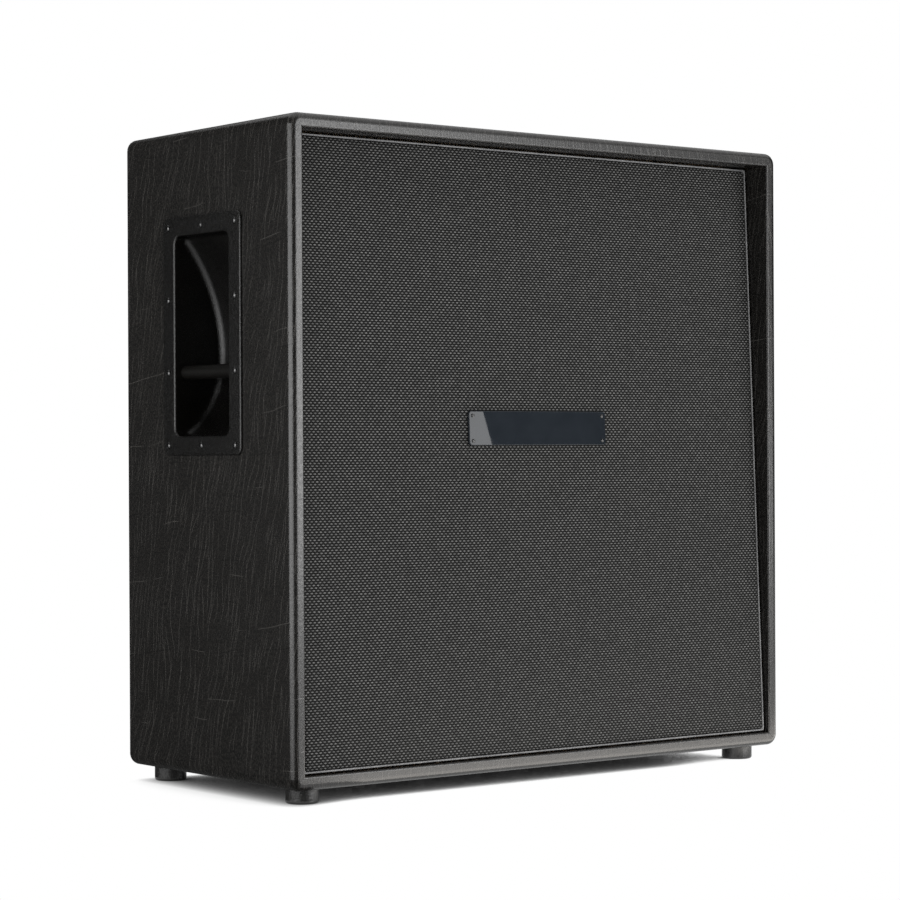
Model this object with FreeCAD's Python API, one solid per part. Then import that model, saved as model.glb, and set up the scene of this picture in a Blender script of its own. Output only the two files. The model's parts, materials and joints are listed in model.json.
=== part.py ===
import FreeCAD, Part
import math
import os
from FreeCAD import Vector

# A four-driver guitar speaker cabinet: a covered plywood shell on rubber feet, with a leaning
# baffle behind a cloth grille, recessed bar handles and a screwed rear panel.
# Millimetres. The floor is z = 0, the grille faces -Y, +X is to the right of someone facing it.

# Shell
shell_width = 760.0
shell_height = 762.0
shell_depth = 356.0
panel = 15.0                  # plywood of the shell and the rear panel
covering = 0.7                # vinyl
glue = 0.05                   # glue line under the vinyl
corner_radius = 14.0          # the four corners seen from the front
edge_roundover = 8.0          # outer front and rear edges
inner_edge_radius = 2.0       # front edge into the recess
finger_count = 11             # fingers along each corner joint
clearance = 0.3               # round pieces in their holes, soft pieces on hard ones
overrun = 2.0                 # how far a cutter passes a face

# Feet
foot_height = 18.0
foot_diameter = 38.5
foot_edge = 3.0               # rounded lower rim
foot_inset = 38.0             # centre from the shell's outer faces
foot_well_diameter = 15.0     # well that hides the screw head
foot_well_depth = 9.0
foot_screw_length = 20.0
foot_screw_head = 10.0
foot_screw_shank = 4.5
foot_screw_head_height = 3.0

# Grille and baffle
baffle_lean = 2.42            # degrees that the front leans back
grille_inset = 6.5            # cloth behind the shell's front edge, at the bottom
grille_gap = 2.0              # around the piping
piping_diameter = 2.2
piping_setback = 1.6          # bead's centre behind the cloth's face
piping_corner = 2.0           # bend of the bead's centre line at each corner
piping_tape = 0.7             # sewn tape behind the bead
piping_tape_depth = 6.5
cloth = 0.8
cloth_corner = 3.6            # the four corners seen from the front
cloth_edge = 3.2              # cloth turning over the frame's edge
grille_frame_thickness = 10.0
grille_frame_border = 40.0
grille_frame_post = 40.0      # upright in the middle
baffle_thickness = 18.0
baffle_margin = 1.5           # baffle inside the grille's outline, top and bottom
cleat_width = 15.0
cleat_depth = 20.0
centre_post_width = 40.0

# Badge plate, left bare
badge_width = 214.0
badge_height = 41.0
badge_thickness = 3.0
badge_corner = 4.0
badge_edge = 0.8
badge_rise = 27.0             # centre above the middle of the shell
badge_shift = -4.5            # centre from the middle of the grille
badge_screw_margin = 5.5
badge_screw_head = 4.6
badge_screw_head_height = 1.4
badge_screw_shank = 2.4
badge_screw_length = 10.0

# Recessed bar handles
handle_width = 166.0
handle_height = 282.0
handle_drop = 244.0           # centre below the top of the shell
handle_setback = 3.8          # centre behind the middle of the shell
flange_thickness = 3.0
flange_corner = 10.0
flange_edge = 2.0
flange_side_border = 25.5     # flange beside the mouth
flange_end_border = 23.0      # flange above and below the mouth
mouth_corner = 10.0
mouth_edge = 2.5
cup_depth = 64.5
cup_wall = 3.0
cup_top_wall = 12.0           # straight depth of the cup's roof before it curves down
cup_foot_wall = 14.0          # straight depth of the cup's sill before it curves up
cup_brow_radius = 8.0         # roof and sill into the curves
cup_deep_share = 0.4          # deepest level, as a share of the mouth's height
bar_diameter = 16.5
bar_depth = 14.0              # axis behind the side face
bar_level_share = 0.32        # axis, as a share of the mouth's height
bar_seat = 2.0                # how far each end enters the cup's wall
handle_hole_gap = 1.5         # around the cup in the panel
handle_screw_margin = 11.8    # from the flange's edges
handle_screw_head = 8.2
handle_screw_head_height = 2.2
handle_screw_shank = 3.4
handle_screw_length = 15.0
long_row_screws = 4
short_row_screws = 3

# Rear panel and sockets
rear_inset = 5.0              # covered rear panel inside the rear edge
rear_gap = 1.5                # around the rear panel
rear_screw_margin = 9.0
rear_screw_head = 9.0
rear_screw_head_height = 2.6
rear_screw_shank = 4.0
rear_screw_length = 28.0
rear_screws_across = 4
rear_screws_up = 5
dish_width = 104.0
dish_height = 84.0
dish_rise = 170.0             # centre above the underside of the shell
dish_flange = 2.5
dish_border = 14.0
dish_depth = 26.0
dish_wall = 2.5
dish_corner = 8.0
dish_screw_margin = 7.0
dish_screw_head = 7.0
dish_screw_head_height = 2.0
dish_screw_shank = 3.0
dish_screw_length = 14.0
socket_spacing = 36.0
socket_bore = 6.5             # takes a 6.35 mm plug
socket_bore_depth = 24.0
socket_thread = 9.4
socket_thread_length = 8.0
socket_body = 18.0
socket_body_depth = 24.0
socket_nut = 13.0             # across the flats
socket_nut_height = 2.5

# Drivers
driver_spacing = 39.25        # between neighbouring drivers, and twice that to the cleats
basket_depth = 86.0           # rim to the back of the basket's floor
basket_steel = 1.8
basket_windows = 8
rim_width = 13.4              # flat rim that the bolts pass through
gasket = 2.5
gasket_inset = 1.3            # gasket behind the rim's inner edge
cone_thickness = 0.9
suspension = 0.8
front_plate = 7.0
back_plate = 7.0
plate_diameter = 124.0
magnet_diameter = 156.0
magnet_bore = 60.0
magnet_height = 20.0
pole_diameter = 43.2
pole_vent = 12.0
air_gap = 0.7                 # each side of the voice coil
former_wall = 0.6
winding = 0.7
winding_height = 12.0
winding_overhang = 2.5        # winding in front of the front plate
former_tail = 1.5             # former behind the winding
cone_travel = 3.0             # each way
bolts_per_driver = 4
bolt_shank = 4.8
bolt_head = 8.0
bolt_head_height = 4.0
tee_nut_diameter = 18.0
tee_nut_flange = 1.2
tee_nut_barrel = 6.4
tee_nut_depth = 9.0
baffle_screw_head = 8.0
baffle_screw_head_height = 0.9
baffle_screw_shank = 4.0
baffle_screw_length = 32.0
baffle_screw_margin = 11.0
baffle_screws_across = 3
baffle_screws_up = 3
tag_width = 24.0
tag_height = 8.0
tag_depth = 8.0
lead_diameter = 4.0
lead_stand_off = 30.0         # straight run out of a tag or a socket
lead_spacing = 8.0

# Shares of the driver's radius
cone_rim_share = 0.8295
ledge_outer_share = 0.606
ledge_inner_share = 0.516
floor_share = 0.4645
dust_cap_share = 0.235
spider_pleat_shares = (0.516, 0.47, 0.425, 0.38, 0.335, 0.29, 0.245)
# Shares of the way from the cone's edge to the rim
pleat_shares = (0.93, 0.71, 0.48, 0.25)
# Shares of the basket's depth
pleat_depth_share = 0.036
ledge_level_share = 0.72
cone_neck_share = 0.64
cone_bow_share = 0.12
dust_cap_rise_share = 0.13
spider_pleat_share = 0.03
window_shares = (0.17, 0.63)
# Share of a basket window's pitch that is open
window_open_share = 0.66
# Share of a run that a lead's bend takes, and half a step
bend_share = 0.45
half_step_share = 0.5
# Shares of a screw head: its crown's radius, and the height of its straight side
crown_share = 0.55
skirt_share = 0.4

# Directions, and how close two places have to be to count as one
along_x = Vector(1, 0, 0)
along_y = Vector(0, 1, 0)
along_z = Vector(0, 0, 1)
same_place = 0.01

# Faces and levels worked out from the sizes
skin = covering + glue
wall = panel + 2 * skin
side = shell_width / 2
front = -shell_depth / 2
rear = shell_depth / 2
shell_foot = foot_height
shell_top = foot_height + shell_height
shell_middle = foot_height + shell_height / 2
wood_side = side - skin
wood_front = front + skin
wood_rear = rear - skin
wood_top = shell_top - skin
wood_foot = shell_foot + skin
inner_side = wood_side - panel
inner_top = wood_top - panel
inner_foot = wood_foot + panel
recess_side = side - wall
recess_top = shell_top - wall
recess_foot = shell_foot + wall

lean_cosine = math.cos(math.radians(baffle_lean))
grille_front = front + grille_inset
grille_foot = recess_foot + grille_gap
grille_height = (recess_top - recess_foot - 2 * grille_gap) / lean_cosine
grille_top = grille_foot + grille_height
grille_middle = grille_foot + grille_height / 2
grille_side = recess_side - grille_gap
cloth_margin = piping_diameter + clearance
frame_margin = cloth_margin + cloth + clearance
frame_side = grille_side - frame_margin
frame_front = grille_front + cloth + clearance
baffle_front = frame_front + grille_frame_thickness
baffle_back = baffle_front + baffle_thickness
cleat_back = baffle_back + cleat_depth
lean_pivot = Vector(0, grille_front, grille_foot)
badge_level = shell_middle + badge_rise
badge_face = grille_front - clearance - badge_thickness

rear_skin_face = rear - rear_inset
rear_panel_back = rear_skin_face - skin
rear_panel_front = rear_panel_back - panel
rear_cleat_front = rear_panel_front - cleat_depth
rear_panel_side = recess_side - rear_gap
rear_panel_top = recess_top - rear_gap
rear_panel_foot = recess_foot + rear_gap
dish_level = shell_foot + dish_rise
dish_floor = rear_skin_face - dish_depth

handle_middle = shell_top - handle_drop
mouth_width = handle_width - 2 * flange_side_border
mouth_height = handle_height - 2 * flange_end_border
mouth_top = handle_middle + mouth_height / 2
mouth_foot = handle_middle - mouth_height / 2
deep_level = mouth_foot + mouth_height * cup_deep_share
bar_level = mouth_foot + mouth_height * bar_level_share

driver_across = (inner_side - cleat_width) / 2
driver_up = (inner_top - inner_foot - 2 * cleat_width) / 4
driver_diameter = 2 * min(driver_across, driver_up) - driver_spacing
driver_radius = driver_diameter / 2
rim_inner = driver_radius - rim_width
bolt_circle_radius = rim_inner + basket_steel + clearance + bolt_head / 2
rim_front = gasket + suspension
floor_front = rim_front + basket_depth - basket_steel
floor_back = rim_front + basket_depth
ledge_front = rim_front + basket_depth * ledge_level_share
tag_middle = driver_radius * (ledge_inner_share + ledge_outer_share) / 2 + basket_steel
plate_back = floor_back + front_plate
magnet_back = plate_back + magnet_height
pole_radius = pole_diameter / 2
former_inner = pole_radius + air_gap
former_outer = former_inner + former_wall
winding_outer = former_outer + winding
plate_bore = winding_outer + air_gap
winding_front = floor_back - winding_overhang
former_back = winding_front + winding_height + former_tail
cone_neck = former_outer + clearance
cone_neck_level = rim_front + basket_depth * cone_neck_share
cone_rim = driver_radius * cone_rim_share
cone_rim_level = rim_front
driver_places = {
    "upper_left": (-1, 1),
    "upper_right": (1, 1),
    "lower_left": (-1, -1),
    "lower_right": (1, -1),
}


def block(x0, x1, y0, y1, z0, z1):
    """Box between two opposite corners."""
    return Part.makeBox(x1 - x0, y1 - y0, z1 - z0, Vector(x0, y0, z0))


def rod(diameter, start, end):
    """Cylinder from one point to another."""
    run = end.sub(start)
    return Part.makeCylinder(diameter / 2, run.Length, start, run)


def rounded(shape, direction, radius):
    """Shape with its straight edges along a direction rounded."""
    edges = []
    for edge in shape.Edges:
        if isinstance(edge.Curve, Part.Line):
            if edge.Curve.Direction.cross(direction).Length < same_place:
                edges.append(edge)
    return shape.makeFillet(radius, edges)


def edges_at(shape, axis, place):
    """Edges that lie in the plane at a place on the X, Y or Z axis."""
    edges = []
    for edge in shape.Edges:
        low = getattr(edge.BoundBox, axis + "Min")
        high = getattr(edge.BoundBox, axis + "Max")
        if abs(low - place) < same_place and abs(high - place) < same_place:
            edges.append(edge)
    return edges


def edges_within(edges, x_limit, z_low, z_high):
    """Those edges that stay inside a window seen along Y."""
    inside = []
    for edge in edges:
        box = edge.BoundBox
        across = max(abs(box.XMin), abs(box.XMax)) < x_limit + same_place
        if across and box.ZMin > z_low - same_place and box.ZMax < z_high + same_place:
            inside.append(edge)
    return inside


def lean(shape):
    """Shape tipped back about the grille's lower edge, as the baffle is."""
    tipped = shape.copy()
    tipped.rotate(lean_pivot, along_x, -baffle_lean)
    return tipped


def opposite(shape):
    """The same shape on the other side of the cabinet."""
    return shape.mirror(Vector(0, 0, 0), along_x)


def turned(points):
    """Solid of revolution about the Y axis, from (radius, y) points."""
    corners = [Vector(radius, y, 0) for radius, y in points]
    face = Part.Face(Part.makePolygon(corners + corners[:1]))
    return face.revolve(Vector(0, 0, 0), along_y, 360)


def tube(inner, outer, y0, y1):
    """Ring about the Y axis."""
    return turned([(inner, y0), (outer, y0), (outer, y1), (inner, y1)])


def screw(seat, direction, head, head_height, shank, length):
    """Pan-head screw whose head sits on a face and whose shank runs along a direction."""
    profile = [
        (0, -head_height),
        (head / 2 * crown_share, -head_height),
        (head / 2, -head_height * skirt_share),
        (head / 2, 0),
        (shank / 2, 0),
        (shank / 2, length),
        (0, length),
    ]
    made = turned(profile)
    made.Placement = FreeCAD.Placement(seat, FreeCAD.Rotation(along_y, direction))
    return made


def screw_holes(seats, direction, shank, length):
    """Clearance holes for a row of screws, open at both ends."""
    unit = Vector(direction).normalize()
    holes = []
    for seat in seats:
        start = seat.sub(unit * (overrun + length))
        holes.append(rod(shank + 2 * clearance, start, seat.add(unit * (length + overrun))))
    return Part.makeCompound(holes)


def spread(low, high, count):
    """Evenly spaced places from one end to the other."""
    return [low + (high - low) * step / (count - 1) for step in range(count)]


def border_places(u_low, u_high, v_low, v_high, u_count, v_count):
    """Places round a rectangle's border, corners included once."""
    places = []
    for u in spread(u_low, u_high, u_count):
        places.append((u, v_low))
        places.append((u, v_high))
    for v in spread(v_low, v_high, v_count)[1:-1]:
        places.append((u_low, v))
        places.append((u_high, v))
    return places


def shell_ring(inset):
    """The shell as one rounded rectangular tube, drawn in by an inset on every face."""
    body = block(-side + inset, side - inset, front + inset, rear - inset,
                 shell_foot + inset, shell_top - inset)
    body = rounded(body, along_y, corner_radius - inset)
    rims = edges_at(body, "Y", front + inset) + edges_at(body, "Y", rear - inset)
    body = body.makeFillet(edge_roundover - inset, rims)
    hole_side = recess_side + inset
    hole_foot = recess_foot - inset
    hole_top = recess_top + inset
    body = body.cut(block(-hole_side, hole_side, front - overrun, rear + overrun, hole_foot, hole_top))
    rims = edges_at(body, "Y", front + inset) + edges_at(body, "Y", rear - inset)
    return body.makeFillet(inner_edge_radius - inset, edges_within(rims, hole_side, hole_foot, hole_top))


def behind_baffle():
    """Leaning space behind the baffle's back face, larger than the shell."""
    return lean(block(-shell_width, shell_width, baffle_back, shell_depth,
                      -shell_height, 2 * shell_height))


def inside_space():
    """Space between the plywood's inner faces."""
    return block(-inner_side, inner_side, front, rear, inner_foot, inner_top)


def finger_blocks(x0, x1, z0, z1, first):
    """Every second finger of a corner joint, counted from the front."""
    pitch = (wood_rear - wood_front) / finger_count
    blocks = []
    for finger in range(first, finger_count, 2):
        start = wood_front + pitch * finger
        blocks.append(block(x0, x1, start, start + pitch, z0, z1))
    return blocks


def side_panel(carcass):
    """Left side: the plywood between the other panels, with its fingers above and below."""
    pieces = [block(-side, -inner_side, front, rear, inner_foot, inner_top)]
    pieces += finger_blocks(-side, -inner_side, shell_foot, inner_foot, 0)
    pieces += finger_blocks(-side, -inner_side, inner_top, shell_top, 0)
    return carcass.common(pieces[0].multiFuse(pieces[1:]))


def level_panel(carcass, z_inner, z_outer):
    """Top or bottom: the plywood between the sides, with its fingers at both ends."""
    low = min(z_inner, z_outer)
    high = max(z_inner, z_outer)
    pieces = [block(-inner_side, inner_side, front, rear, low, high)]
    pieces += finger_blocks(-side, -inner_side, low, high, 1)
    pieces += finger_blocks(inner_side, side, low, high, 1)
    return carcass.common(pieces[0].multiFuse(pieces[1:]))


def covering_skin():
    """Vinyl round the outside, over the front and rear edges and into both recesses."""
    skin_solid = shell_ring(0).cut(shell_ring(covering))
    rear_stop = block(-side, side, front, rear_panel_front, shell_foot, shell_top)
    bare = inside_space().common(behind_baffle()).common(rear_stop)
    return skin_solid.cut(bare)


def foot_places():
    """Centres of the four feet, by name."""
    across = side - foot_inset
    return {
        "foot_front_left": Vector(-across, front + foot_inset, 0),
        "foot_front_right": Vector(across, front + foot_inset, 0),
        "foot_rear_left": Vector(-across, rear - foot_inset, 0),
        "foot_rear_right": Vector(across, rear - foot_inset, 0),
    }


def foot(centre):
    """Rubber foot with a rounded lower rim and a well for its screw."""
    at = Vector(centre.x, centre.y, 0)
    body = Part.makeCylinder(foot_diameter / 2, foot_height, at)
    body = body.makeFillet(foot_edge, edges_at(body, "Z", 0))
    well_top = at + along_z * foot_well_depth
    body = body.cut(rod(foot_well_diameter, at - along_z * overrun, well_top))
    return body.cut(rod(foot_screw_shank + 2 * clearance, at, at + along_z * (foot_height + overrun)))


def cup_arcs(offset):
    """Centre and radius of the cup's upper and lower curves, in (depth, level)."""
    curves = []
    for level, depth in ((mouth_top, cup_top_wall), (mouth_foot, cup_foot_wall)):
        reach = cup_depth - depth
        radius = ((level - deep_level) ** 2 + reach ** 2) / (2 * reach)
        curves.append((cup_depth - radius, radius + offset))
    return curves


def cup_prism(offset, mouth_depth):
    """Cup's side profile, grown by an offset, as a prism with rounded ends along the cabinet's depth."""
    (upper_centre, upper_radius), (lower_centre, lower_radius) = cup_arcs(offset)
    width = mouth_width + 2 * offset
    y = handle_setback - width / 2

    def at(depth, level):
        return Vector(-side + depth, y, level)

    def on_curve(centre, radius, angle):
        return at(centre + radius * math.cos(angle), deep_level + radius * math.sin(angle))

    roof = mouth_top + offset
    sill = mouth_foot - offset
    upper_angle = math.asin((roof - deep_level) / upper_radius)
    lower_angle = math.asin((sill - deep_level) / lower_radius)
    roof_start = at(mouth_depth, roof)
    sill_start = at(mouth_depth, sill)
    roof_end = on_curve(upper_centre, upper_radius, upper_angle)
    deepest = at(cup_depth + offset, deep_level)
    sill_end = on_curve(lower_centre, lower_radius, lower_angle)
    upper = Part.Arc(roof_end, on_curve(upper_centre, upper_radius, upper_angle / 2), deepest)
    lower = Part.Arc(deepest, on_curve(lower_centre, lower_radius, lower_angle / 2), sill_end)
    outline = Part.Wire([
        Part.makeLine(roof_start, roof_end),
        upper.toShape(),
        lower.toShape(),
        Part.makeLine(sill_end, sill_start),
        Part.makeLine(sill_start, roof_start),
    ])
    prism = Part.Face(outline).extrude(along_y * width)
    brows = [edge for edge in prism.Edges
             if edge.BoundBox.YLength > width - same_place
             and min(abs(edge.BoundBox.Center.x - end.x) for end in (roof_end, sill_end)) < same_place]
    prism = prism.makeFillet(cup_brow_radius + offset, brows)
    ends = [edge for edge in edges_at(prism, "Y", y) + edges_at(prism, "Y", y + width)
            if edge.BoundBox.XMax > mouth_depth - side + same_place]
    return prism.makeFillet(mouth_corner + offset, ends)


def handle_screw_seats():
    """Screw places on the left flange's outer face."""
    across = handle_width / 2 - handle_screw_margin
    up = handle_height / 2 - handle_screw_margin
    places = border_places(handle_setback - across, handle_setback + across, handle_middle - up,
                           handle_middle + up, short_row_screws, long_row_screws)
    return [Vector(-side - flange_thickness, y, z) for y, z in places]


def handle_hole():
    """Opening for the left cup in the side panel and its covering."""
    across = mouth_width / 2 + cup_wall + handle_hole_gap
    low = mouth_foot - cup_wall - handle_hole_gap
    high = mouth_top + cup_wall + handle_hole_gap
    hole = block(-side - overrun, -inner_side + overrun, handle_setback - across,
                 handle_setback + across, low, high)
    return rounded(hole, along_x, mouth_corner)


def handle_cup():
    """Left cup: a moulded flange round a scooped pocket, with seats for the bar."""
    face = -side - flange_thickness
    across = handle_width / 2
    flange = block(face, -side, handle_setback - across, handle_setback + across,
                   handle_middle - handle_height / 2, handle_middle + handle_height / 2)
    flange = rounded(flange, along_x, flange_corner)
    flange = flange.makeFillet(flange_edge, edges_at(flange, "X", face))
    shell = cup_prism(cup_wall, 0)
    pocket = cup_prism(0, -flange_thickness - overrun)
    cup = flange.fuse(shell).cut(pocket)
    lip = [edge for edge in edges_at(cup, "X", face)
           if abs(edge.BoundBox.Center.y - handle_setback) < mouth_width / 2 + same_place
           and abs(edge.BoundBox.Center.z - handle_middle) < mouth_height / 2 + cup_wall]
    cup = cup.makeFillet(mouth_edge, lip)
    cup = cup.cut(screw_holes(handle_screw_seats(), along_x, handle_screw_shank, flange_thickness))
    return cup.cut(handle_bar(clearance))


def handle_bar(grown):
    """Left grip bar, with both ends let into the cup's walls; grown makes its seat."""
    reach = mouth_width / 2 + bar_seat + grown
    start = Vector(-side + bar_depth, handle_setback - reach, bar_level)
    return rod(bar_diameter + 2 * grown, start, start + along_y * (2 * reach))


def handle_screw(seat):
    """One screw of the left handle."""
    return screw(seat, along_x, handle_screw_head, handle_screw_head_height, handle_screw_shank,
                 handle_screw_length)


def outlined_block(margin, y0, y1):
    """Upright block inside the grille's outline by a margin, before the lean."""
    across = grille_side - margin
    return block(-across, across, y0, y1, grille_foot + margin, grille_top - margin)


def rounded_front_plate(margin, y0, y1, corner, edge):
    """Upright plate inside the grille's outline by a margin, its front edge rounded over."""
    plate = rounded(outlined_block(margin, y0, y1), along_y, corner)
    return plate.makeFillet(edge, edges_at(plate, "Y", y0))


def grille_frame():
    """Plywood frame under the cloth, with an upright and a rail that backs the badge."""
    corner = cloth_corner - cloth - clearance
    frame = rounded_front_plate(frame_margin, frame_front, baffle_front, corner,
                                cloth_edge - cloth - clearance)
    low = grille_foot + frame_margin + grille_frame_border
    high = grille_top - frame_margin - grille_frame_border
    rail_low = badge_level - badge_height / 2 - cloth_edge
    rail_high = badge_level + badge_height / 2 + cloth_edge
    post = grille_frame_post / 2
    edge = frame_side - grille_frame_border
    for x0, x1 in ((-edge, -post), (post, edge)):
        for z0, z1 in ((low, rail_low), (rail_high, high)):
            opening = block(x0, x1, frame_front - overrun, baffle_front + overrun, z0, z1)
            frame = frame.cut(rounded(opening, along_y, cloth_corner))
    return lean(frame.cut(badge_holes()))


def grille_cloth():
    """Cloth stretched over the frame and turned back along its edges."""
    outer = rounded_front_plate(cloth_margin, grille_front, baffle_front - clearance, cloth_corner,
                                cloth_edge)
    inner = rounded_front_plate(cloth_margin + cloth, grille_front + cloth, baffle_front + overrun,
                                cloth_corner - cloth, cloth_edge - cloth)
    return lean(outer.cut(inner).cut(badge_holes()))


def grille_piping():
    """Piping round the grille: a round bead on a sewn tape that lies along the cloth's edge."""
    bead_y = grille_front + piping_setback
    bead_side = grille_side - piping_diameter / 2
    line = block(-bead_side, bead_side, bead_y, bead_y + overrun,
                 grille_foot + piping_diameter / 2, grille_top - piping_diameter / 2)
    line = rounded(line, along_y, piping_corner)
    path = Part.Wire(Part.__sortEdges__(edges_at(line, "Y", bead_y)))
    first = path.OrderedEdges[0]
    begin = first.valueAt(first.FirstParameter)
    section = Part.makeCircle(piping_diameter / 2, begin, first.tangentAt(first.FirstParameter))
    bead = path.makePipeShell([Part.Wire(section)], True, False)
    tape_inner = cloth_margin - clearance
    tape_outer = tape_inner - piping_tape
    tape = rounded(outlined_block(tape_outer, bead_y, bead_y + piping_tape_depth), along_y,
                   cloth_corner + clearance + piping_tape)
    hole = rounded(outlined_block(tape_inner, bead_y - overrun, bead_y + piping_tape_depth + overrun),
                   along_y, cloth_corner + clearance)
    return lean(bead.fuse(tape.cut(hole)).removeSplitter())


def badge_seats():
    """Screw seats on the badge's face, before the lean."""
    across = badge_width / 2 - badge_screw_margin
    up = badge_height / 2 - badge_screw_margin
    return [Vector(badge_shift + across * x, badge_face, badge_level + up * z)
            for x, z in ((-1, -1), (-1, 1), (1, -1), (1, 1))]


def badge_holes():
    """Clearance holes for the badge screws."""
    return screw_holes(badge_seats(), along_y, badge_screw_shank, badge_screw_length)


def badge_plate():
    """Bare plate on the cloth, with rounded corners and a softened front edge."""
    across = badge_width / 2
    up = badge_height / 2
    plate = block(badge_shift - across, badge_shift + across, badge_face, grille_front - clearance,
                  badge_level - up, badge_level + up)
    plate = rounded(plate, along_y, badge_corner)
    plate = plate.makeFillet(badge_edge, edges_at(plate, "Y", badge_face))
    return lean(plate.cut(badge_holes()))


def badge_screw(seat):
    """One badge screw, leaning with the plate."""
    return lean(screw(seat, along_y, badge_screw_head, badge_screw_head_height, badge_screw_shank,
                      badge_screw_length))


def baffle_screw_seats():
    """Places of the screws that hold the baffle to its cleats, on the baffle's front."""
    across = inner_side - baffle_screw_margin
    margin = inner_foot + baffle_screw_margin - grille_foot
    places = border_places(-across, across, grille_foot + margin, grille_top - margin,
                           baffle_screws_across, baffle_screws_up)
    return [Vector(x, baffle_front + baffle_screw_head_height, z) for x, z in places]


def baffle_screw_holes():
    """Holes for the baffle screws, with sunk seats for their heads."""
    holes = []
    for seat in baffle_screw_seats():
        holes.append(rod(baffle_screw_shank + 2 * clearance, seat, seat + along_y * baffle_screw_length))
        holes.append(rod(baffle_screw_head + 2 * clearance, seat - along_y * (2 * overrun), seat))
    return Part.makeCompound(holes)


def baffle_screw(seat):
    """One flat-head baffle screw."""
    return lean(screw(seat, along_y, baffle_screw_head, baffle_screw_head_height, baffle_screw_shank,
                      baffle_screw_length))


def driver_centre(name):
    """Centre of a driver on the baffle's back face, before the lean."""
    x, z = driver_places[name]
    return Vector(x * driver_across, baffle_back, grille_middle + z * driver_up)


def bolt_circle(centre):
    """Places of one driver's bolts round a centre."""
    places = []
    for bolt in range(bolts_per_driver):
        angle = 2 * math.pi * (bolt + half_step_share) / bolts_per_driver
        places.append(centre + Vector(math.cos(angle), 0, math.sin(angle)) * bolt_circle_radius)
    return places


def baffle_board():
    """Leaning board with a round cut-out and bolt holes for each driver."""
    board = outlined_block(baffle_margin, baffle_front, baffle_back)
    depth = along_y * (baffle_thickness + overrun)
    for name in driver_places:
        centre = driver_centre(name)
        board = board.cut(rod(2 * rim_inner, centre - depth, centre + depth))
        places = bolt_circle(centre)
        holes = [rod(tee_nut_barrel + 2 * clearance, place - depth, place + depth) for place in places]
        sunk = along_y * (baffle_thickness - tee_nut_flange)
        seats = [rod(tee_nut_diameter + 2 * clearance, place - depth, place - sunk) for place in places]
        board = board.cut(Part.makeCompound(holes)).cut(Part.makeCompound(seats))
    return lean(board.cut(baffle_screw_holes()))


def baffle_cleats():
    """Strips glued inside the shell, bevelled to the lean, that the baffle is screwed to."""
    slab = block(-side, side, baffle_back, cleat_back, grille_foot - wall, grille_top + wall)
    slab = lean(slab.cut(baffle_screw_holes())).common(inside_space())
    edge = inner_side - cleat_width
    return Part.makeCompound([
        slab.common(block(-side, -edge, front, rear, shell_foot, shell_top)),
        slab.common(block(edge, side, front, rear, shell_foot, shell_top)),
        slab.common(block(-edge, edge, front, rear, inner_top - cleat_width, shell_top)),
        slab.common(block(-edge, edge, front, rear, shell_foot, inner_foot + cleat_width)),
    ])


def centre_post():
    """Brace from the middle of the baffle to the rear panel."""
    half = centre_post_width / 2
    post = block(-half, half, front, rear_panel_front, shell_middle - half, shell_middle + half)
    return post.common(behind_baffle())


def rear_cleats():
    """Strips glued inside the shell that the rear panel is screwed to."""
    edge = inner_side - cleat_width
    strips = [
        block(-inner_side, -edge, rear_cleat_front, rear_panel_front, inner_foot, inner_top),
        block(edge, inner_side, rear_cleat_front, rear_panel_front, inner_foot, inner_top),
        block(-edge, edge, rear_cleat_front, rear_panel_front, inner_top - cleat_width, inner_top),
        block(-edge, edge, rear_cleat_front, rear_panel_front, inner_foot, inner_foot + cleat_width),
    ]
    return Part.makeCompound([strip.cut(rear_screw_holes()) for strip in strips])


def rear_screw_seats():
    """Screw places round the rear panel."""
    across = rear_panel_side - rear_screw_margin
    places = border_places(-across, across, rear_panel_foot + rear_screw_margin,
                           rear_panel_top - rear_screw_margin, rear_screws_across, rear_screws_up)
    return [Vector(x, rear_skin_face, z) for x, z in places]


def rear_screw_holes():
    """Clearance holes for the rear panel's screws."""
    return screw_holes(rear_screw_seats(), -along_y, rear_screw_shank, rear_screw_length)


def rear_screw(seat):
    """One rear panel screw."""
    return screw(seat, -along_y, rear_screw_head, rear_screw_head_height, rear_screw_shank,
                 rear_screw_length)


def dish_block(margin, y0, y1, corner):
    """Upright block inside the dish's flange by a margin, with rounded corners."""
    across = dish_width / 2 - margin
    up = dish_height / 2 - margin
    made = block(-across, across, y0, y1, dish_level - up, dish_level + up)
    return rounded(made, along_y, corner)


def dish_hole():
    """Opening for the dish in the rear panel and its covering."""
    margin = dish_border - dish_wall - clearance
    return dish_block(margin, rear_panel_front - overrun, rear_skin_face + overrun,
                      dish_corner + dish_wall + clearance)


def dish_screw_seats():
    """Screw places at the corners of the dish's flange."""
    across = dish_width / 2 - dish_screw_margin
    up = dish_height / 2 - dish_screw_margin
    return [Vector(across * x, rear_skin_face + dish_flange, dish_level + up * z)
            for x, z in ((-1, -1), (-1, 1), (1, -1), (1, 1))]


def dish_screw_holes():
    """Clearance holes for the dish's screws."""
    return screw_holes(dish_screw_seats(), -along_y, dish_screw_shank, dish_screw_length)


def dish_screw(seat):
    """One dish screw."""
    return screw(seat, -along_y, dish_screw_head, dish_screw_head_height, dish_screw_shank,
                 dish_screw_length)


def rear_sheet(y0, y1):
    """Upright sheet of the rear panel's outline, with its cut-out and screw holes."""
    sheet = block(-rear_panel_side, rear_panel_side, y0, y1, rear_panel_foot, rear_panel_top)
    return sheet.cut(dish_hole()).cut(rear_screw_holes()).cut(dish_screw_holes())


def socket_places():
    """Centres of the two sockets on the dish's floor."""
    return [Vector(x * socket_spacing / 2, dish_floor, dish_level) for x in (-1, 1)]


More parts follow.
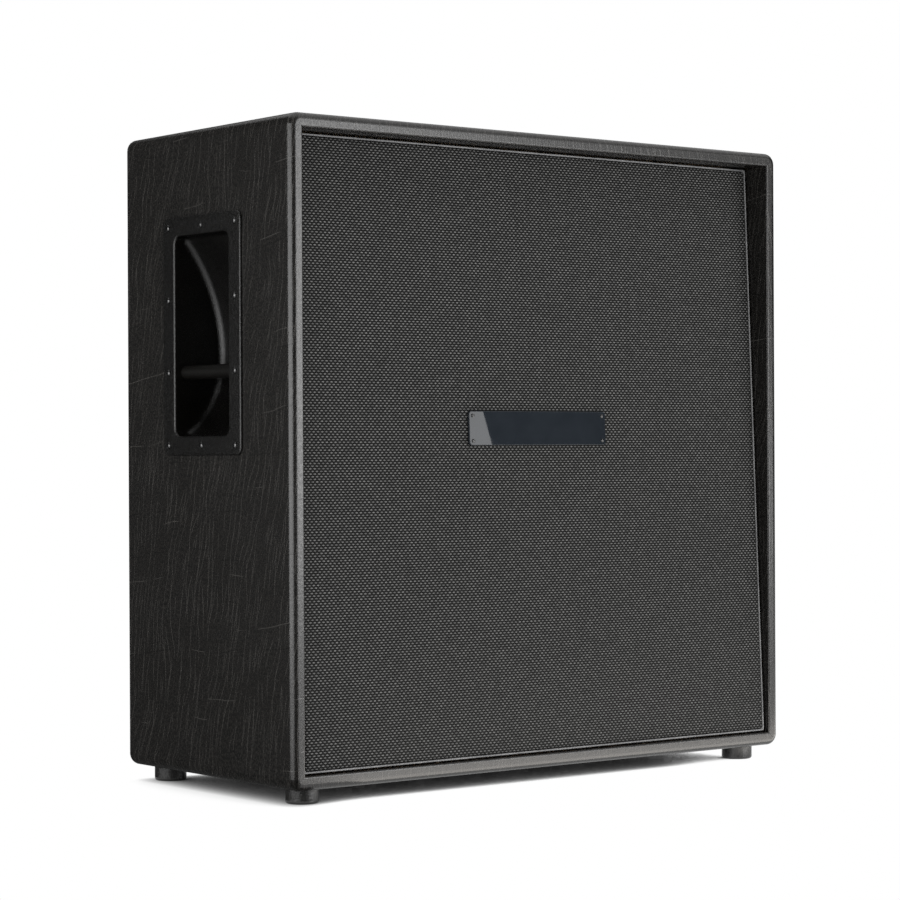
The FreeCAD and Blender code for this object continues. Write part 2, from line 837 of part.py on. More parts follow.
def jack_dish():
    """Moulded dish that sinks the sockets below the rear panel's face."""
    face = rear_skin_face + dish_flange
    flange = dish_block(0, rear_skin_face, face, dish_corner)
    flange = flange.makeFillet(dish_flange * skirt_share, edges_at(flange, "Y", face))
    tub = dish_block(dish_border - dish_wall, dish_floor - dish_wall, rear_skin_face,
                     dish_corner + dish_wall)
    pocket = dish_block(dish_border, dish_floor, face + overrun, dish_corner)
    pocket = pocket.makeFillet(dish_wall, edges_at(pocket, "Y", dish_floor))
    dish = flange.fuse(tub).cut(pocket).cut(dish_screw_holes())
    for place in socket_places():
        reach = along_y * (dish_wall + overrun)
        dish = dish.cut(rod(socket_thread + 2 * clearance, place - reach, place + reach))
    return dish


def jack_socket(place):
    """Socket: a moulded body behind the dish's floor and a threaded neck through it."""
    half = socket_body / 2
    back = dish_floor - dish_wall
    body = block(place.x - half, place.x + half, back - socket_body_depth, back, place.z - half,
                 place.z + half)
    body = rounded(body, along_y, dish_wall)
    neck_end = Vector(place.x, back + socket_thread_length, place.z)
    body = body.fuse(rod(socket_thread, Vector(place.x, back, place.z), neck_end))
    return body.cut(rod(socket_bore, neck_end - along_y * socket_bore_depth, neck_end + along_y * overrun))


def jack_nut(place):
    """Hexagon nut that clamps a socket to the dish."""
    corner = socket_nut / 2 / math.cos(math.pi / 6)
    corners = [place + Vector(math.cos(step * math.pi / 3), 0, math.sin(step * math.pi / 3)) * corner
               for step in range(7)]
    nut = Part.Face(Part.makePolygon(corners)).extrude(along_y * socket_nut_height)
    return nut.cut(rod(socket_thread + 2 * clearance, place - along_y * overrun,
                       place + along_y * (socket_nut_height + overrun)))


def seated(shape, name):
    """A driver piece, made about the Y axis, moved to its place and leaned with the baffle."""
    placed = shape.copy()
    placed.translate(driver_centre(name))
    return lean(placed)


def bolt_hole_ring():
    """Bolt holes of one driver about its own axis."""
    reach = along_y * (rim_front + basket_steel + overrun)
    return Part.makeCompound([rod(bolt_shank + 2 * clearance, place - reach, place + reach)
                              for place in bolt_circle(Vector(0, 0, 0))])


def basket():
    """Pressed steel frame: a flat rim, spokes between windows, a spider ledge and a floor."""
    ledge_outer = driver_radius * ledge_outer_share
    ledge_inner = driver_radius * ledge_inner_share
    floor_edge = driver_radius * floor_share
    steel = basket_steel
    frame = turned([
        (driver_radius, rim_front),
        (rim_inner, rim_front),
        (ledge_outer, ledge_front),
        (ledge_inner, ledge_front),
        (floor_edge, floor_front),
        (magnet_bore / 2, floor_front),
        (magnet_bore / 2, floor_back),
        (floor_edge + steel, floor_back),
        (ledge_inner + steel, ledge_front + steel),
        (ledge_outer + steel, ledge_front + steel),
        (rim_inner + steel, rim_front + steel),
        (driver_radius, rim_front + steel),
    ])
    low, high = [rim_front + basket_depth * share for share in window_shares]
    pitch = 360 / basket_windows
    sector = Part.Face(Part.makePolygon([
        Vector(ledge_outer, low, 0),
        Vector(driver_radius, low, 0),
        Vector(driver_radius, high, 0),
        Vector(ledge_outer, high, 0),
        Vector(ledge_outer, low, 0),
    ])).revolve(Vector(0, 0, 0), along_y, pitch * window_open_share)
    windows = []
    for window in range(basket_windows):
        cutter = sector.copy()
        cutter.rotate(Vector(0, 0, 0), along_y, pitch * window)
        windows.append(cutter)
    return frame.cut(Part.makeCompound(windows)).cut(bolt_hole_ring())


def rim_gasket():
    """Flat ring between the driver and the baffle."""
    ring = tube(rim_inner + gasket_inset, driver_radius - clearance, 0, gasket)
    return ring.cut(bolt_hole_ring())


def pleated(points):
    """Thin pleated ring: a line of (radius, y) points given the suspension's thickness."""
    back = [(radius, y + suspension) for radius, y in reversed(points)]
    return turned(points + back)


def surround():
    """Pleated ring from the rim to the edge of the cone."""
    pleat = basket_depth * pleat_depth_share
    line = [(driver_radius - clearance, gasket)]
    for step, share in enumerate(pleat_shares):
        radius = cone_rim + (rim_inner - cone_rim) * share
        line.append((radius, gasket + pleat * (step % 2)))
    line.append((cone_rim + clearance, gasket))
    return pleated(line).cut(bolt_hole_ring())


def spider():
    """Pleated disc from the basket's ledge to the voice coil."""
    pleat = basket_depth * spider_pleat_share
    face = ledge_front - suspension
    line = [(driver_radius * ledge_outer_share - clearance, face)]
    for step, share in enumerate(spider_pleat_shares):
        line.append((driver_radius * share, face - pleat * (step % 2)))
    line.append((former_outer + clearance, face))
    return pleated(line)


def cone_line(level):
    """Front line of the cone, flaring from the neck to the rim, at a level behind its own."""
    depth = cone_neck_level - cone_rim_level
    neck = Vector(cone_neck, cone_neck_level + level, 0)
    rim = Vector(cone_rim, cone_rim_level + level, 0)
    middle = (neck + rim) * half_step_share - along_y * (depth * cone_bow_share)
    return Part.Arc(neck, middle, rim)


def cone():
    """Paper cone with a flared profile."""
    face_line = cone_line(0)
    back_line = cone_line(cone_thickness)
    outline = Part.Wire([
        face_line.toShape(),
        Part.makeLine(face_line.EndPoint, back_line.EndPoint),
        back_line.toShape(),
        Part.makeLine(back_line.StartPoint, face_line.StartPoint),
    ])
    return Part.Face(outline).revolve(Vector(0, 0, 0), along_y, 360)


def dust_cap():
    """Shallow dome over the voice coil, seated on the cone."""
    edge = driver_radius * dust_cap_share
    rise = basket_depth * dust_cap_rise_share
    flare = cone_line(0).toShape().Curve
    drop = math.sqrt(flare.Radius ** 2 - (edge - flare.Center.x) ** 2)
    seat = flare.Center.y + math.copysign(drop, cone_neck_level - flare.Center.y)
    level = seat - clearance - cone_thickness
    radius = (edge ** 2 + rise ** 2) / (2 * rise)
    half_angle = math.asin(edge / radius) / 2
    shoulder = Vector(radius * math.sin(half_angle), level - rise + radius * (1 - math.cos(half_angle)), 0)
    thick = along_y * cone_thickness
    rim = Vector(edge, level, 0)
    crown = Vector(0, level - rise, 0)
    outline = Part.Wire([
        Part.Arc(rim, shoulder, crown).toShape(),
        Part.makeLine(crown, crown + thick),
        Part.Arc(crown + thick, shoulder + thick, rim + thick).toShape(),
        Part.makeLine(rim + thick, rim),
    ])
    return Part.Face(outline).revolve(Vector(0, 0, 0), along_y, 360)


def voice_coil():
    """Former with its winding, hanging in the motor's gap."""
    return turned([
        (former_inner, cone_neck_level - former_tail),
        (former_outer, cone_neck_level - former_tail),
        (former_outer, winding_front),
        (winding_outer, winding_front),
        (winding_outer, winding_front + winding_height),
        (former_outer, winding_front + winding_height),
        (former_outer, former_back),
        (former_inner, former_back),
    ])


def pole_yoke():
    """Back plate and vented pole in one forging."""
    plate = plate_diameter / 2
    return turned([
        (pole_vent / 2, floor_back),
        (pole_radius, floor_back),
        (pole_radius, magnet_back),
        (plate, magnet_back),
        (plate, magnet_back + back_plate),
        (pole_vent / 2, magnet_back + back_plate),
    ])


def tag_strip(name):
    """Terminal strip behind the spider ledge, on the side nearest the cabinet's middle."""
    face = ledge_front + basket_steel
    strip = block(tag_middle - tag_height / 2, tag_middle + tag_height / 2, face, face + tag_depth,
                  -tag_width / 2, tag_width / 2)
    x, z = driver_places[name]
    strip.rotate(Vector(0, 0, 0), along_y, math.degrees(math.atan2(z, -x)))
    return strip


def speaker_bolt(place):
    """Bolt from behind the rim through the baffle into its tee nut."""
    seat = place + along_y * (rim_front + basket_steel)
    length = rim_front + basket_steel + baffle_thickness - overrun
    return lean(screw(seat, -along_y, bolt_head, bolt_head_height, bolt_shank, length))


def tee_nut(place):
    """Tee nut pressed into the front of the baffle, its flange let in flush."""
    bore = bolt_shank / 2 + clearance
    barrel = tee_nut_barrel / 2
    flange = tee_nut_diameter / 2
    nut = turned([(bore, -tee_nut_flange), (flange, -tee_nut_flange), (flange, 0), (barrel, 0),
                  (barrel, tee_nut_depth), (bore, tee_nut_depth)])
    nut.translate(place - along_y * (baffle_thickness - tee_nut_flange))
    return lean(nut)


def lead(points):
    """Round lead along straight runs joined by tangent arcs."""
    edges = []
    begin = points[0]
    for before, corner, after in zip(points, points[1:], points[2:]):
        back = before.sub(corner)
        ahead = after.sub(corner)
        setback = min(back.Length, ahead.Length) * bend_share
        start = corner + back.normalize() * setback
        end = corner + ahead.normalize() * setback
        half_turn = (math.pi - back.getAngle(ahead)) / 2
        radius = setback / math.tan(half_turn)
        inward = (back + ahead).normalize()
        middle = corner + inward * (radius / math.cos(half_turn) - radius)
        edges.append(Part.makeLine(begin, start))
        edges.append(Part.Arc(start, middle, end).toShape())
        begin = end
    edges.append(Part.makeLine(begin, points[-1]))
    path = Part.Wire(edges)
    section = Part.makeCircle(lead_diameter / 2, points[0], points[1].sub(points[0]))
    return path.makePipeShell([Part.Wire(section)], True, False)


def speaker_leads():
    """Leads from the sockets to the drivers' terminal strips."""
    leads = []
    socket_back = dish_floor - dish_wall - socket_body_depth - clearance
    for name, (x, z) in driver_places.items():
        outward = Vector(-x, 0, -z).normalize()
        tag = driver_centre(name) + outward * (tag_middle + tag_height / 2 + clearance)
        tag = tag + along_y * (ledge_front + basket_steel + tag_depth / 2)
        leaned = lean(Part.makeLine(tag, tag + outward * lead_stand_off))
        tag_end, tag_out = [vertex.Point for vertex in leaned.Vertexes]
        socket_end = Vector(x * socket_spacing / 2, socket_back, dish_level + z * lead_spacing / 2)
        leads.append(lead([tag_end, tag_out, socket_end - along_y * lead_stand_off, socket_end]))
    return Part.makeCompound(leads)


def shell_parts():
    """Plywood panels, covering, baffle, rear panel and what braces them."""
    carcass = shell_ring(skin)
    handle_holes = [handle_hole(), screw_holes(handle_screw_seats(), along_x, handle_screw_shank,
                                               handle_screw_length)]
    foot_seats = [centre + along_z * foot_well_depth for centre in foot_places().values()]
    foot_holes = screw_holes(foot_seats, along_z, foot_screw_shank, foot_screw_length)
    left = side_panel(carcass)
    vinyl = covering_skin().cut(foot_holes)
    for hole in handle_holes:
        left = left.cut(hole)
        vinyl = vinyl.cut(hole).cut(opposite(hole))
    return {
        "side_panel_left": left,
        "side_panel_right": opposite(left),
        "top_panel": level_panel(carcass, inner_top, shell_top),
        "bottom_panel": level_panel(carcass, inner_foot, shell_foot).cut(foot_holes),
        "shell_covering": vinyl,
        "baffle_board": baffle_board(),
        "baffle_cleats": baffle_cleats(),
        "baffle_screws": Part.makeCompound([baffle_screw(seat) for seat in baffle_screw_seats()]),
        "centre_post": centre_post(),
        "rear_cleats": rear_cleats(),
        "rear_panel": rear_sheet(rear_panel_front, rear_panel_back),
        "rear_covering": rear_sheet(rear_panel_back + glue, rear_skin_face),
        "rear_panel_screws": Part.makeCompound([rear_screw(seat) for seat in rear_screw_seats()]),
    }


def outside_parts():
    """Grille, badge, handles, feet and sockets."""
    made = {
        "grille_frame": grille_frame(),
        "grille_cloth": grille_cloth(),
        "grille_piping": grille_piping(),
        "badge_plate": badge_plate(),
        "badge_screws": Part.makeCompound([badge_screw(seat) for seat in badge_seats()]),
        "jack_dish": jack_dish(),
        "jack_dish_screws": Part.makeCompound([dish_screw(seat) for seat in dish_screw_seats()]),
        "jack_sockets": Part.makeCompound([jack_socket(place) for place in socket_places()]),
        "jack_nuts": Part.makeCompound([jack_nut(place) for place in socket_places()]),
    }
    cup = handle_cup()
    bar = handle_bar(0)
    screws = [handle_screw(seat) for seat in handle_screw_seats()]
    made["handle_cup_left"] = cup
    made["handle_cup_right"] = opposite(cup)
    made["handle_bar_left"] = bar
    made["handle_bar_right"] = opposite(bar)
    made["handle_screws"] = Part.makeCompound(screws + [opposite(one) for one in screws])
    foot_screws = []
    for name, centre in foot_places().items():
        made[name] = foot(centre)
        foot_screws.append(screw(centre + along_z * foot_well_depth, along_z, foot_screw_head,
                                 foot_screw_head_height, foot_screw_shank, foot_screw_length))
    made["foot_screws"] = Part.makeCompound(foot_screws)
    return made


def driver_parts():
    """Four drivers, each with its own moving cone, and what holds and feeds them."""
    front_plate_ring = tube(plate_bore, plate_diameter / 2, floor_back, plate_back)
    magnet_ring = tube(magnet_bore / 2, magnet_diameter / 2, plate_back, magnet_back)
    own = {
        "basket": basket(),
        "cone": cone(),
        "dust_cap": dust_cap(),
        "voice_coil": voice_coil(),
        "suspension": Part.makeCompound([surround(), spider()]),
    }
    shared = {
        "speaker_gaskets": rim_gasket(),
        "speaker_front_plates": front_plate_ring,
        "speaker_magnets": magnet_ring,
        "speaker_pole_yokes": pole_yoke(),
    }
    made = {}
    for piece, shape in own.items():
        for name in driver_places:
            made[piece + "_" + name] = seated(shape, name)
    for piece, shape in shared.items():
        made[piece] = Part.makeCompound([seated(shape, name) for name in driver_places])
    made["speaker_tags"] = Part.makeCompound([seated(tag_strip(name), name) for name in driver_places])
    bolts = [place for name in driver_places for place in bolt_circle(driver_centre(name))]
    made["speaker_bolts"] = Part.makeCompound([speaker_bolt(place) for place in bolts])
    made["speaker_tee_nuts"] = Part.makeCompound([tee_nut(place) for place in bolts])
    made["speaker_leads"] = speaker_leads()
    return made


os.makedirs("parts", exist_ok=True)
for group in (shell_parts(), outside_parts(), driver_parts()):
    for node, shape in group.items():
        shape.exportStep("parts/" + node + ".step")
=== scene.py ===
# %% [markdown]
# # A guitar speaker cabinet
# The cabinet is a plywood box wrapped in black embossed vinyl. A panel of woven cloth leans back inside its
# front rim, a moulded handle is let into each side, and four loudspeakers sit out of sight behind the
# cloth. The solid parts come ready made and in place, so this lesson gives them their finishes, stretches
# the cloth, cuts the screw heads, and sets up a plain white studio.

# %% Load the solid parts
import json
import math

import bmesh
import bpy
from mathutils import Matrix, Vector


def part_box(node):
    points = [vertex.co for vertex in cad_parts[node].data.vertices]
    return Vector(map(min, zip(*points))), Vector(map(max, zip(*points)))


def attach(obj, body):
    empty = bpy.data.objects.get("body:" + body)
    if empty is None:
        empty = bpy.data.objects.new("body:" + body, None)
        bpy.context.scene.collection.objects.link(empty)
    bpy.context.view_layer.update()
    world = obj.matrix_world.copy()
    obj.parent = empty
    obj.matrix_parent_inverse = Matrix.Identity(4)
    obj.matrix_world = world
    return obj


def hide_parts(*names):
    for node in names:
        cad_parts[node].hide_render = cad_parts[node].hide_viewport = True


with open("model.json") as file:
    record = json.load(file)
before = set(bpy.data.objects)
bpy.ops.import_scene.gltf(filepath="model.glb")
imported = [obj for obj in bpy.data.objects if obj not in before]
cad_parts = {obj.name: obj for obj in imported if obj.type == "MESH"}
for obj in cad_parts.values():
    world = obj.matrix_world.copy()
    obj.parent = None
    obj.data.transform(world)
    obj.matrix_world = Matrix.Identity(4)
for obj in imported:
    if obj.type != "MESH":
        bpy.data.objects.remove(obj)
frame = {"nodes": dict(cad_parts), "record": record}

scene = bpy.context.scene
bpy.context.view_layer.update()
parts = frame["nodes"]
finish_of = {row["node"]: row["material_slot"] for row in frame["record"]["subparts"]}
print("solid parts:", len(parts), "in", len(set(finish_of.values())), "finishes")

# %% [markdown]
# ## The camera
# The cabinet is seen from its front left corner, from about half its own height, with a long lens held
# level, which keeps the uprights parallel. A camera can be turned with angles, but three axes of its own
# make the small sideways tilt easy to follow: the line of sight, a level line to the right, and the line
# that is square to both.

# %% Place the camera
lens_data = bpy.data.cameras.new("camera")
lens_data.lens = 106.85
lens_data.sensor_width = 36.0
camera = bpy.data.objects.new("camera", lens_data)
scene.collection.objects.link(camera)
scene.camera = camera

camera_place = Vector((-2.07746, -2.63580, 0.40191))
turn, nod, tilt = math.radians(38.014), math.radians(-0.034), math.radians(-0.263)
sight = Vector((math.sin(turn) * math.cos(nod), math.cos(turn) * math.cos(nod), math.sin(nod)))
level = Vector((math.cos(turn), -math.sin(turn), 0.0))
upright = level.cross(sight)
right = level * math.cos(tilt) + upright * math.sin(tilt)
above = upright * math.cos(tilt) - level * math.sin(tilt)
camera.matrix_world = Matrix.LocRotScale(camera_place, Matrix((right, above, -sight)).transposed(), None)
print("camera at", tuple(round(v, 3) for v in camera.location))

# %% [markdown]
# ## Small helpers for node trees
# Every finish below is a tree of nodes. Adding a node always takes the same three steps: make it, set its
# options, and feed its sockets, either with a plain value or with a link. One helper does this. Two more
# shorten the arithmetic on numbers and on vectors, and the last one eases one range of values into another.


# %% Node helpers
def add_node(tree, kind, sockets=None, **options):
    made = tree.nodes.new(kind)
    for name, value in options.items():
        setattr(made, name, value)
    for name, value in (sockets or {}).items():
        if isinstance(value, bpy.types.NodeSocket):
            tree.links.new(value, made.inputs[name])
        else:
            made.inputs[name].default_value = value
    return made


def sums(tree, operation, *terms, clamp=False):
    made = add_node(tree, "ShaderNodeMath", dict(enumerate(terms)), operation=operation, use_clamp=clamp)
    return made.outputs[0]


def vector_sums(tree, operation, *terms):
    made = add_node(tree, "ShaderNodeVectorMath", dict(enumerate(terms)), operation=operation)
    return made.outputs[0]


def remap(tree, value, low, high, start=0.0, end=1.0):
    sockets = {"Value": value, "From Min": low, "From Max": high, "To Min": start, "To Max": end}
    made = add_node(tree, "ShaderNodeMapRange", sockets, interpolation_type="SMOOTHSTEP")
    return made.outputs["Result"]


# %% [markdown]
# ## The studio
# The object stands on a pale floor in a white room, so nothing but its own soft shadow shows round it. To
# the camera and in reflections the floor is pure white, darkened only where the object closes it off from
# above, and so no horizon is seen. To every other ray it is plain matt pale grey. The room looks white in
# the same way, but gives only a modest soft light.

# %% White room
scene.view_settings.view_transform = "Standard"
room = bpy.data.worlds.new("white_room")
room.use_nodes = True
scene.world = room
tree = room.node_tree
tree.nodes.clear()


def seen_directly(tree):
    path = add_node(tree, "ShaderNodeLightPath")
    seen = sums(tree, "MAXIMUM", path.outputs["Is Camera Ray"], path.outputs["Is Glossy Ray"])
    return sums(tree, "MAXIMUM", seen, path.outputs["Is Transmission Ray"])


room_glow = 0.26
lit = add_node(tree, "ShaderNodeBackground", {"Color": (1, 1, 1, 1), "Strength": room_glow})
white = add_node(tree, "ShaderNodeBackground", {"Color": (1, 1, 1, 1), "Strength": 1.0})
mix = add_node(tree, "ShaderNodeMixShader", {0: seen_directly(tree), 1: lit.outputs[0], 2: white.outputs[0]})
add_node(tree, "ShaderNodeOutputWorld", {"Surface": mix.outputs[0]})
print("room glow", room_glow)

# %% [markdown]
# ### The floor and its shadow
# An Ambient Occlusion node tells how open each spot of the floor is. A gain and a power turn that into the
# shade of the shadow. More light comes in from the front and the right than from the left, so the shadow is
# softest along the left side, crisper in front, and lightest under the right end. Far from the object the
# floor is always white.

# %% Floor
floor_radius, shadow_reach = 9.0, 0.20
shadow_ends = (0.8, 1.1)
left_side, right_end = (-0.38, -0.25), (0.20, 0.34)
left_gain, front_gain, added_right_gain = 1.7, 6.3, 8.0
left_power, front_power = 1.2, 2.1
floor_mesh = bpy.data.meshes.new("floor")
disc = bmesh.new()
bmesh.ops.create_circle(disc, cap_ends=True, segments=64, radius=floor_radius)
disc.to_mesh(floor_mesh)
disc.free()
floor = bpy.data.objects.new("floor", floor_mesh)
scene.collection.objects.link(floor)

floor_paint = bpy.data.materials.new("floor_paint")
floor_paint.use_nodes = True
tree = floor_paint.node_tree
tree.nodes.clear()
openness = add_node(tree, "ShaderNodeAmbientOcclusion", {"Distance": shadow_reach}, samples=32)
floor_place = add_node(tree, "ShaderNodeTexCoord").outputs["Object"]
to_right = add_node(tree, "ShaderNodeSeparateXYZ", {0: floor_place}).outputs["X"]
gain = sums(tree, "ADD", remap(tree, to_right, *left_side, left_gain, front_gain),
            remap(tree, to_right, *right_end, 0.0, added_right_gain))
power = remap(tree, to_right, *left_side, left_power, front_power)
open_share = sums(tree, "MULTIPLY", openness.outputs["AO"], gain, clamp=True)
from_middle = vector_sums(tree, "LENGTH", floor_place).node.outputs["Value"]
shade = sums(tree, "MAXIMUM", sums(tree, "POWER", open_share, power), remap(tree, from_middle, *shadow_ends))
shown = add_node(tree, "ShaderNodeEmission", {"Color": shade, "Strength": 1.0})
matt = add_node(tree, "ShaderNodeBsdfDiffuse", {"Color": (0.62, 0.62, 0.62, 1)})
mix = add_node(tree, "ShaderNodeMixShader", {0: seen_directly(tree), 1: matt.outputs[0], 2: shown.outputs[0]})
add_node(tree, "ShaderNodeOutputMaterial", {"Surface": mix.outputs[0]})
floor_mesh.materials.append(floor_paint)
print("floor radius", floor_radius, "m, with a contact shadow", shadow_reach, "m wide")

# %% [markdown]
# ## The dark curtain
# A black object would look grey if every side of it mirrored a white room. Photographers hang black cloth
# round the set, out of the picture, so that only the lamps and the floor gleam on it. Here it is one tall
# ring with a roof that has a wide round opening. A dark grey card nearer by, with a cloth of the same grey
# at its foot, keeps the pale floor out of the left side, and a black cloth on the floor keeps the front
# left corner dark. They only show in reflections: the camera looks straight through them, and so do the
# soft light of the room and the lamps.

# %% Curtain, roof and card
curtain_radius, curtain_height = 4.6, 2.8
opening_radius, opening_middle, opening_rise = 3.0, (1.2, 0.3), 0.1
curtain_steps = 64
curtain_glow, card_glow = 0.012, 0.07
card_height, card_lift, floor_cloth_lift = 1.9, 0.004, 0.003
card_foot = [(-1.75, 0.85), (-0.45, 2.20)]
card_cloth = [(-0.34, 0.25), (-0.34, -0.19), (-0.46, -0.19)]
floor_cloth = [(-0.46, -0.19), (-2.72, -2.78), (0.90, -3.14), (-0.37, -0.19)]


def at_height(points, height):
    return [(x, y, height) for x, y in points]


ring = bmesh.new()
rims = []
for radius, middle, height in ((curtain_radius, (0, 0), 0.0), (curtain_radius, (0, 0), curtain_height),
                               (opening_radius, opening_middle, curtain_height + opening_rise)):
    turns = [2 * math.pi * step / curtain_steps for step in range(curtain_steps)]
    places = [(middle[0] + radius * math.cos(turn), middle[1] + radius * math.sin(turn)) for turn in turns]
    rims.append([ring.verts.new(place) for place in at_height(places, height)])
for low, high in zip(rims, rims[1:]):
    for step in range(curtain_steps):
        ring.faces.new((low[step], low[step - 1], high[step - 1], high[step]))
curtain_mesh = bpy.data.meshes.new("dark_curtain")
ring.to_mesh(curtain_mesh)
ring.free()
card_mesh = bpy.data.meshes.new("grey_card")
card_mesh.from_pydata(at_height(card_foot + card_cloth, card_lift) + at_height(card_foot, card_height),
                      [], [(0, 1, 2, 3, 4), (0, 1, 6, 5)])
floor_cloth_mesh = bpy.data.meshes.new("black_floor_cloth")
floor_cloth_mesh.from_pydata(at_height(floor_cloth, floor_cloth_lift), [], [(0, 1, 2, 3)])


def plain_glow(name, grey):
    material = bpy.data.materials.new(name)
    material.use_nodes = True
    tree = material.node_tree
    tree.nodes.clear()
    glow = add_node(tree, "ShaderNodeEmission", {"Color": (grey, grey, grey, 1)})
    add_node(tree, "ShaderNodeOutputMaterial", {"Surface": glow.outputs[0]})
    return material


for mesh, grey in ((curtain_mesh, curtain_glow), (floor_cloth_mesh, curtain_glow), (card_mesh, card_glow)):
    mesh.materials.append(plain_glow(mesh.name, grey))
    hung = bpy.data.objects.new(mesh.name, mesh)
    scene.collection.objects.link(hung)
    hung.visible_camera = hung.visible_diffuse = hung.visible_shadow = False
print("curtain radius", curtain_radius, "m, height", curtain_height, "m")

# %% [markdown]
# ## The lights
# A large softbox stands in front and to the right. It lights the cloth and gleams along the front edges,
# and its tilted right end shows in the badge. A low one and a high one beyond it gleam along the bottom,
# top and right edges, and a fill evens out the cloth. A warm strip that lies on the floor in front gives no
# light, and only gleams along the bottom edge. A wide dim panel at the left draws a soft line down the
# front left corner and picks out the handle. Two more light the right side and the back, and a panel
# overhead lights the top and the floor. Each lamp has a place, a point it faces, a width and height in
# metres, and its watts.


# %% Softboxes
def softbox(name, place, aim, size, watts, roll=0.0, gleams=True, lights=True, tint=(1, 1, 1)):
    lamp = bpy.data.lights.new(name, "AREA")
    lamp.shape = "RECTANGLE"
    lamp.size, lamp.size_y = size
    lamp.energy, lamp.color = watts, tint
    holder = bpy.data.objects.new(name, lamp)
    scene.collection.objects.link(holder)
    facing = (Vector(aim) - Vector(place)).to_track_quat("-Z", "Y").to_matrix()
    holder.matrix_world = Matrix.LocRotScale(Vector(place), facing @ Matrix.Rotation(roll, 3, "Z"), None)
    holder.visible_glossy, holder.visible_diffuse = gleams, lights
    print(name, watts, "W")


warm = (1.0, 0.95, 0.89)
softbox("front_softbox", (1.22, -3.0, 0.70), (0.0, 0.0, 0.42), (1.55, 1.35), 41.0, roll=math.radians(14))
softbox("low_softbox", (2.32, -2.90, 0.27), (0.1, -0.1, 0.40), (1.20, 0.50), 11.0)
softbox("floor_strip", (0.26, -0.28, 0.004), (0.26, -0.28, 1.0), (1.06, 0.18), 2.1, lights=False, tint=warm)
softbox("high_softbox", (2.0, -2.9, 1.95), (0.1, -0.1, 0.70), (3.0, 1.3), 15.0, roll=math.radians(-13))
softbox("front_fill", (-0.95, -3.2, 0.62), (-0.1, 0.0, 0.42), (1.2, 1.1), 22.0, gleams=False)
softbox("left_panel", (-2.4, -0.40, 0.55), (-0.38, -0.40, 0.42), (3.2, 1.1), 43.0)
softbox("right_softbox", (3.2, 0.6, 0.9), (0.3, 0.0, 0.42), (1.0, 1.4), 30.0, gleams=False)
softbox("rear_softbox", (0.7, 3.3, 0.9), (0.0, 0.1, 0.42), (1.5, 1.4), 45.0, gleams=False)
softbox("overhead_panel", (0.0, -0.2, 2.7), (0.0, 0.0, 0.0), (2.6, 2.6), 45.0, gleams=False)

# %% [markdown]
# ## Effects
# Each effect is a node group with named inputs: the surface position goes in, and values that vary over the
# surface come out. The groups hold no shader, so each material keeps its own.


# %% Node group helper
def start_group(name, inputs, outputs):
    tree = bpy.data.node_groups.new(name, "ShaderNodeTree")
    for label, kind, value in inputs:
        socket = tree.interface.new_socket(label, in_out="INPUT", socket_type="NodeSocket" + kind)
        if value is not None:
            socket.default_value = value
    for label, kind in outputs:
        tree.interface.new_socket(label, in_out="OUTPUT", socket_type="NodeSocket" + kind)
    return tree, add_node(tree, "NodeGroupInput").outputs


def finish_group(tree, results):
    add_node(tree, "NodeGroupOutput", results)
    print("group", tree.name, "with", len(tree.nodes), "nodes")
    return tree


# %% [markdown]
# ### Mottling
# No real surface is the same all over. Handling, moulding and dust leave cloudy patches, so this group puts
# out a soft cloud and a fine speckle. Most finishes use it to vary their colour and roughness a little.

# %% Mottling group
tree, given = start_group(
    "mottling",
    [("Position", "Vector", None), ("Cloud size", "Float", 0.06), ("Speckle size", "Float", 0.0012)],
    [("Cloud", "Float"), ("Speckle", "Float")])
cloud_scale = sums(tree, "DIVIDE", 1.0, given["Cloud size"])
speckle_scale = sums(tree, "DIVIDE", 1.0, given["Speckle size"])
cloud = add_node(tree, "ShaderNodeTexNoise",
                 {"Vector": given["Position"], "Scale": cloud_scale, "Detail": 4.0, "Roughness": 0.55})
speckle = add_node(tree, "ShaderNodeTexNoise",
                   {"Vector": given["Position"], "Scale": speckle_scale, "Detail": 2.0, "Roughness": 0.6})
mottling = finish_group(tree, {"Cloud": remap(tree, cloud.outputs["Fac"], 0.3, 0.7),
                               "Speckle": remap(tree, speckle.outputs["Fac"], 0.3, 0.7)})

# %% [markdown]
# ### Embossed vinyl
# Cabinet vinyl is pressed between rollers that give it the look of hide: a fine close grain, thin raised
# hairlines that run along the roll at a slant, and now and then a raised line or a sunken crease across it.
# The covering gives the raised lines a painted highlight and the creases painted shade. The roll goes round
# the box, so the hairlines stand upright on the sides and run from left to right on the top and underneath.
# Drawing each line would take thousands of strokes. A Voronoi texture in one dimension, fed with the
# distance across the roll, gives straight lines at uneven spacings, and a noise breaks them into lengths.
# Three layers with slants of their own cross each other, and the same strokes laid the other way make the
# lines and creases that run across.

# %% Vinyl grain group
level_from = 0.7
wander_scale, wander_reach = 7.0, 0.035
breaks_per_metre = 20.0
hairline_slants = ((0.10, 1.3), (0.22, 4.7), (0.36, 8.1))
hairline_width, hairline_kept = 0.036, (0.48, 0.60)
cross_slant = 0.08
cross_ridge_spacing, cross_ridge_width, cross_ridge_kept = 0.085, 0.006, (0.50, 0.62)
crease_spacing, crease_width, crease_kept = 0.06, 0.011, (0.48, 0.60)
grain_slant, grain_squash = 0.15, 0.6
hairline_rise, grain_rise, crease_sink = 0.8, 0.5, 1.6
tree, given = start_group(
    "vinyl_grain",
    [("Position", "Vector", None), ("Normal", "Vector", None), ("Grain size", "Float", 0.0024),
     ("Hairline spacing", "Float", 0.011)],
    [("Height", "Float"), ("Grain", "Float"), ("Hairline", "Float"), ("Crease", "Float")])
facing = add_node(tree, "ShaderNodeSeparateXYZ", {0: given["Normal"]}).outputs
level_face = sums(tree, "GREATER_THAN", sums(tree, "ABSOLUTE", facing["Z"]), level_from)
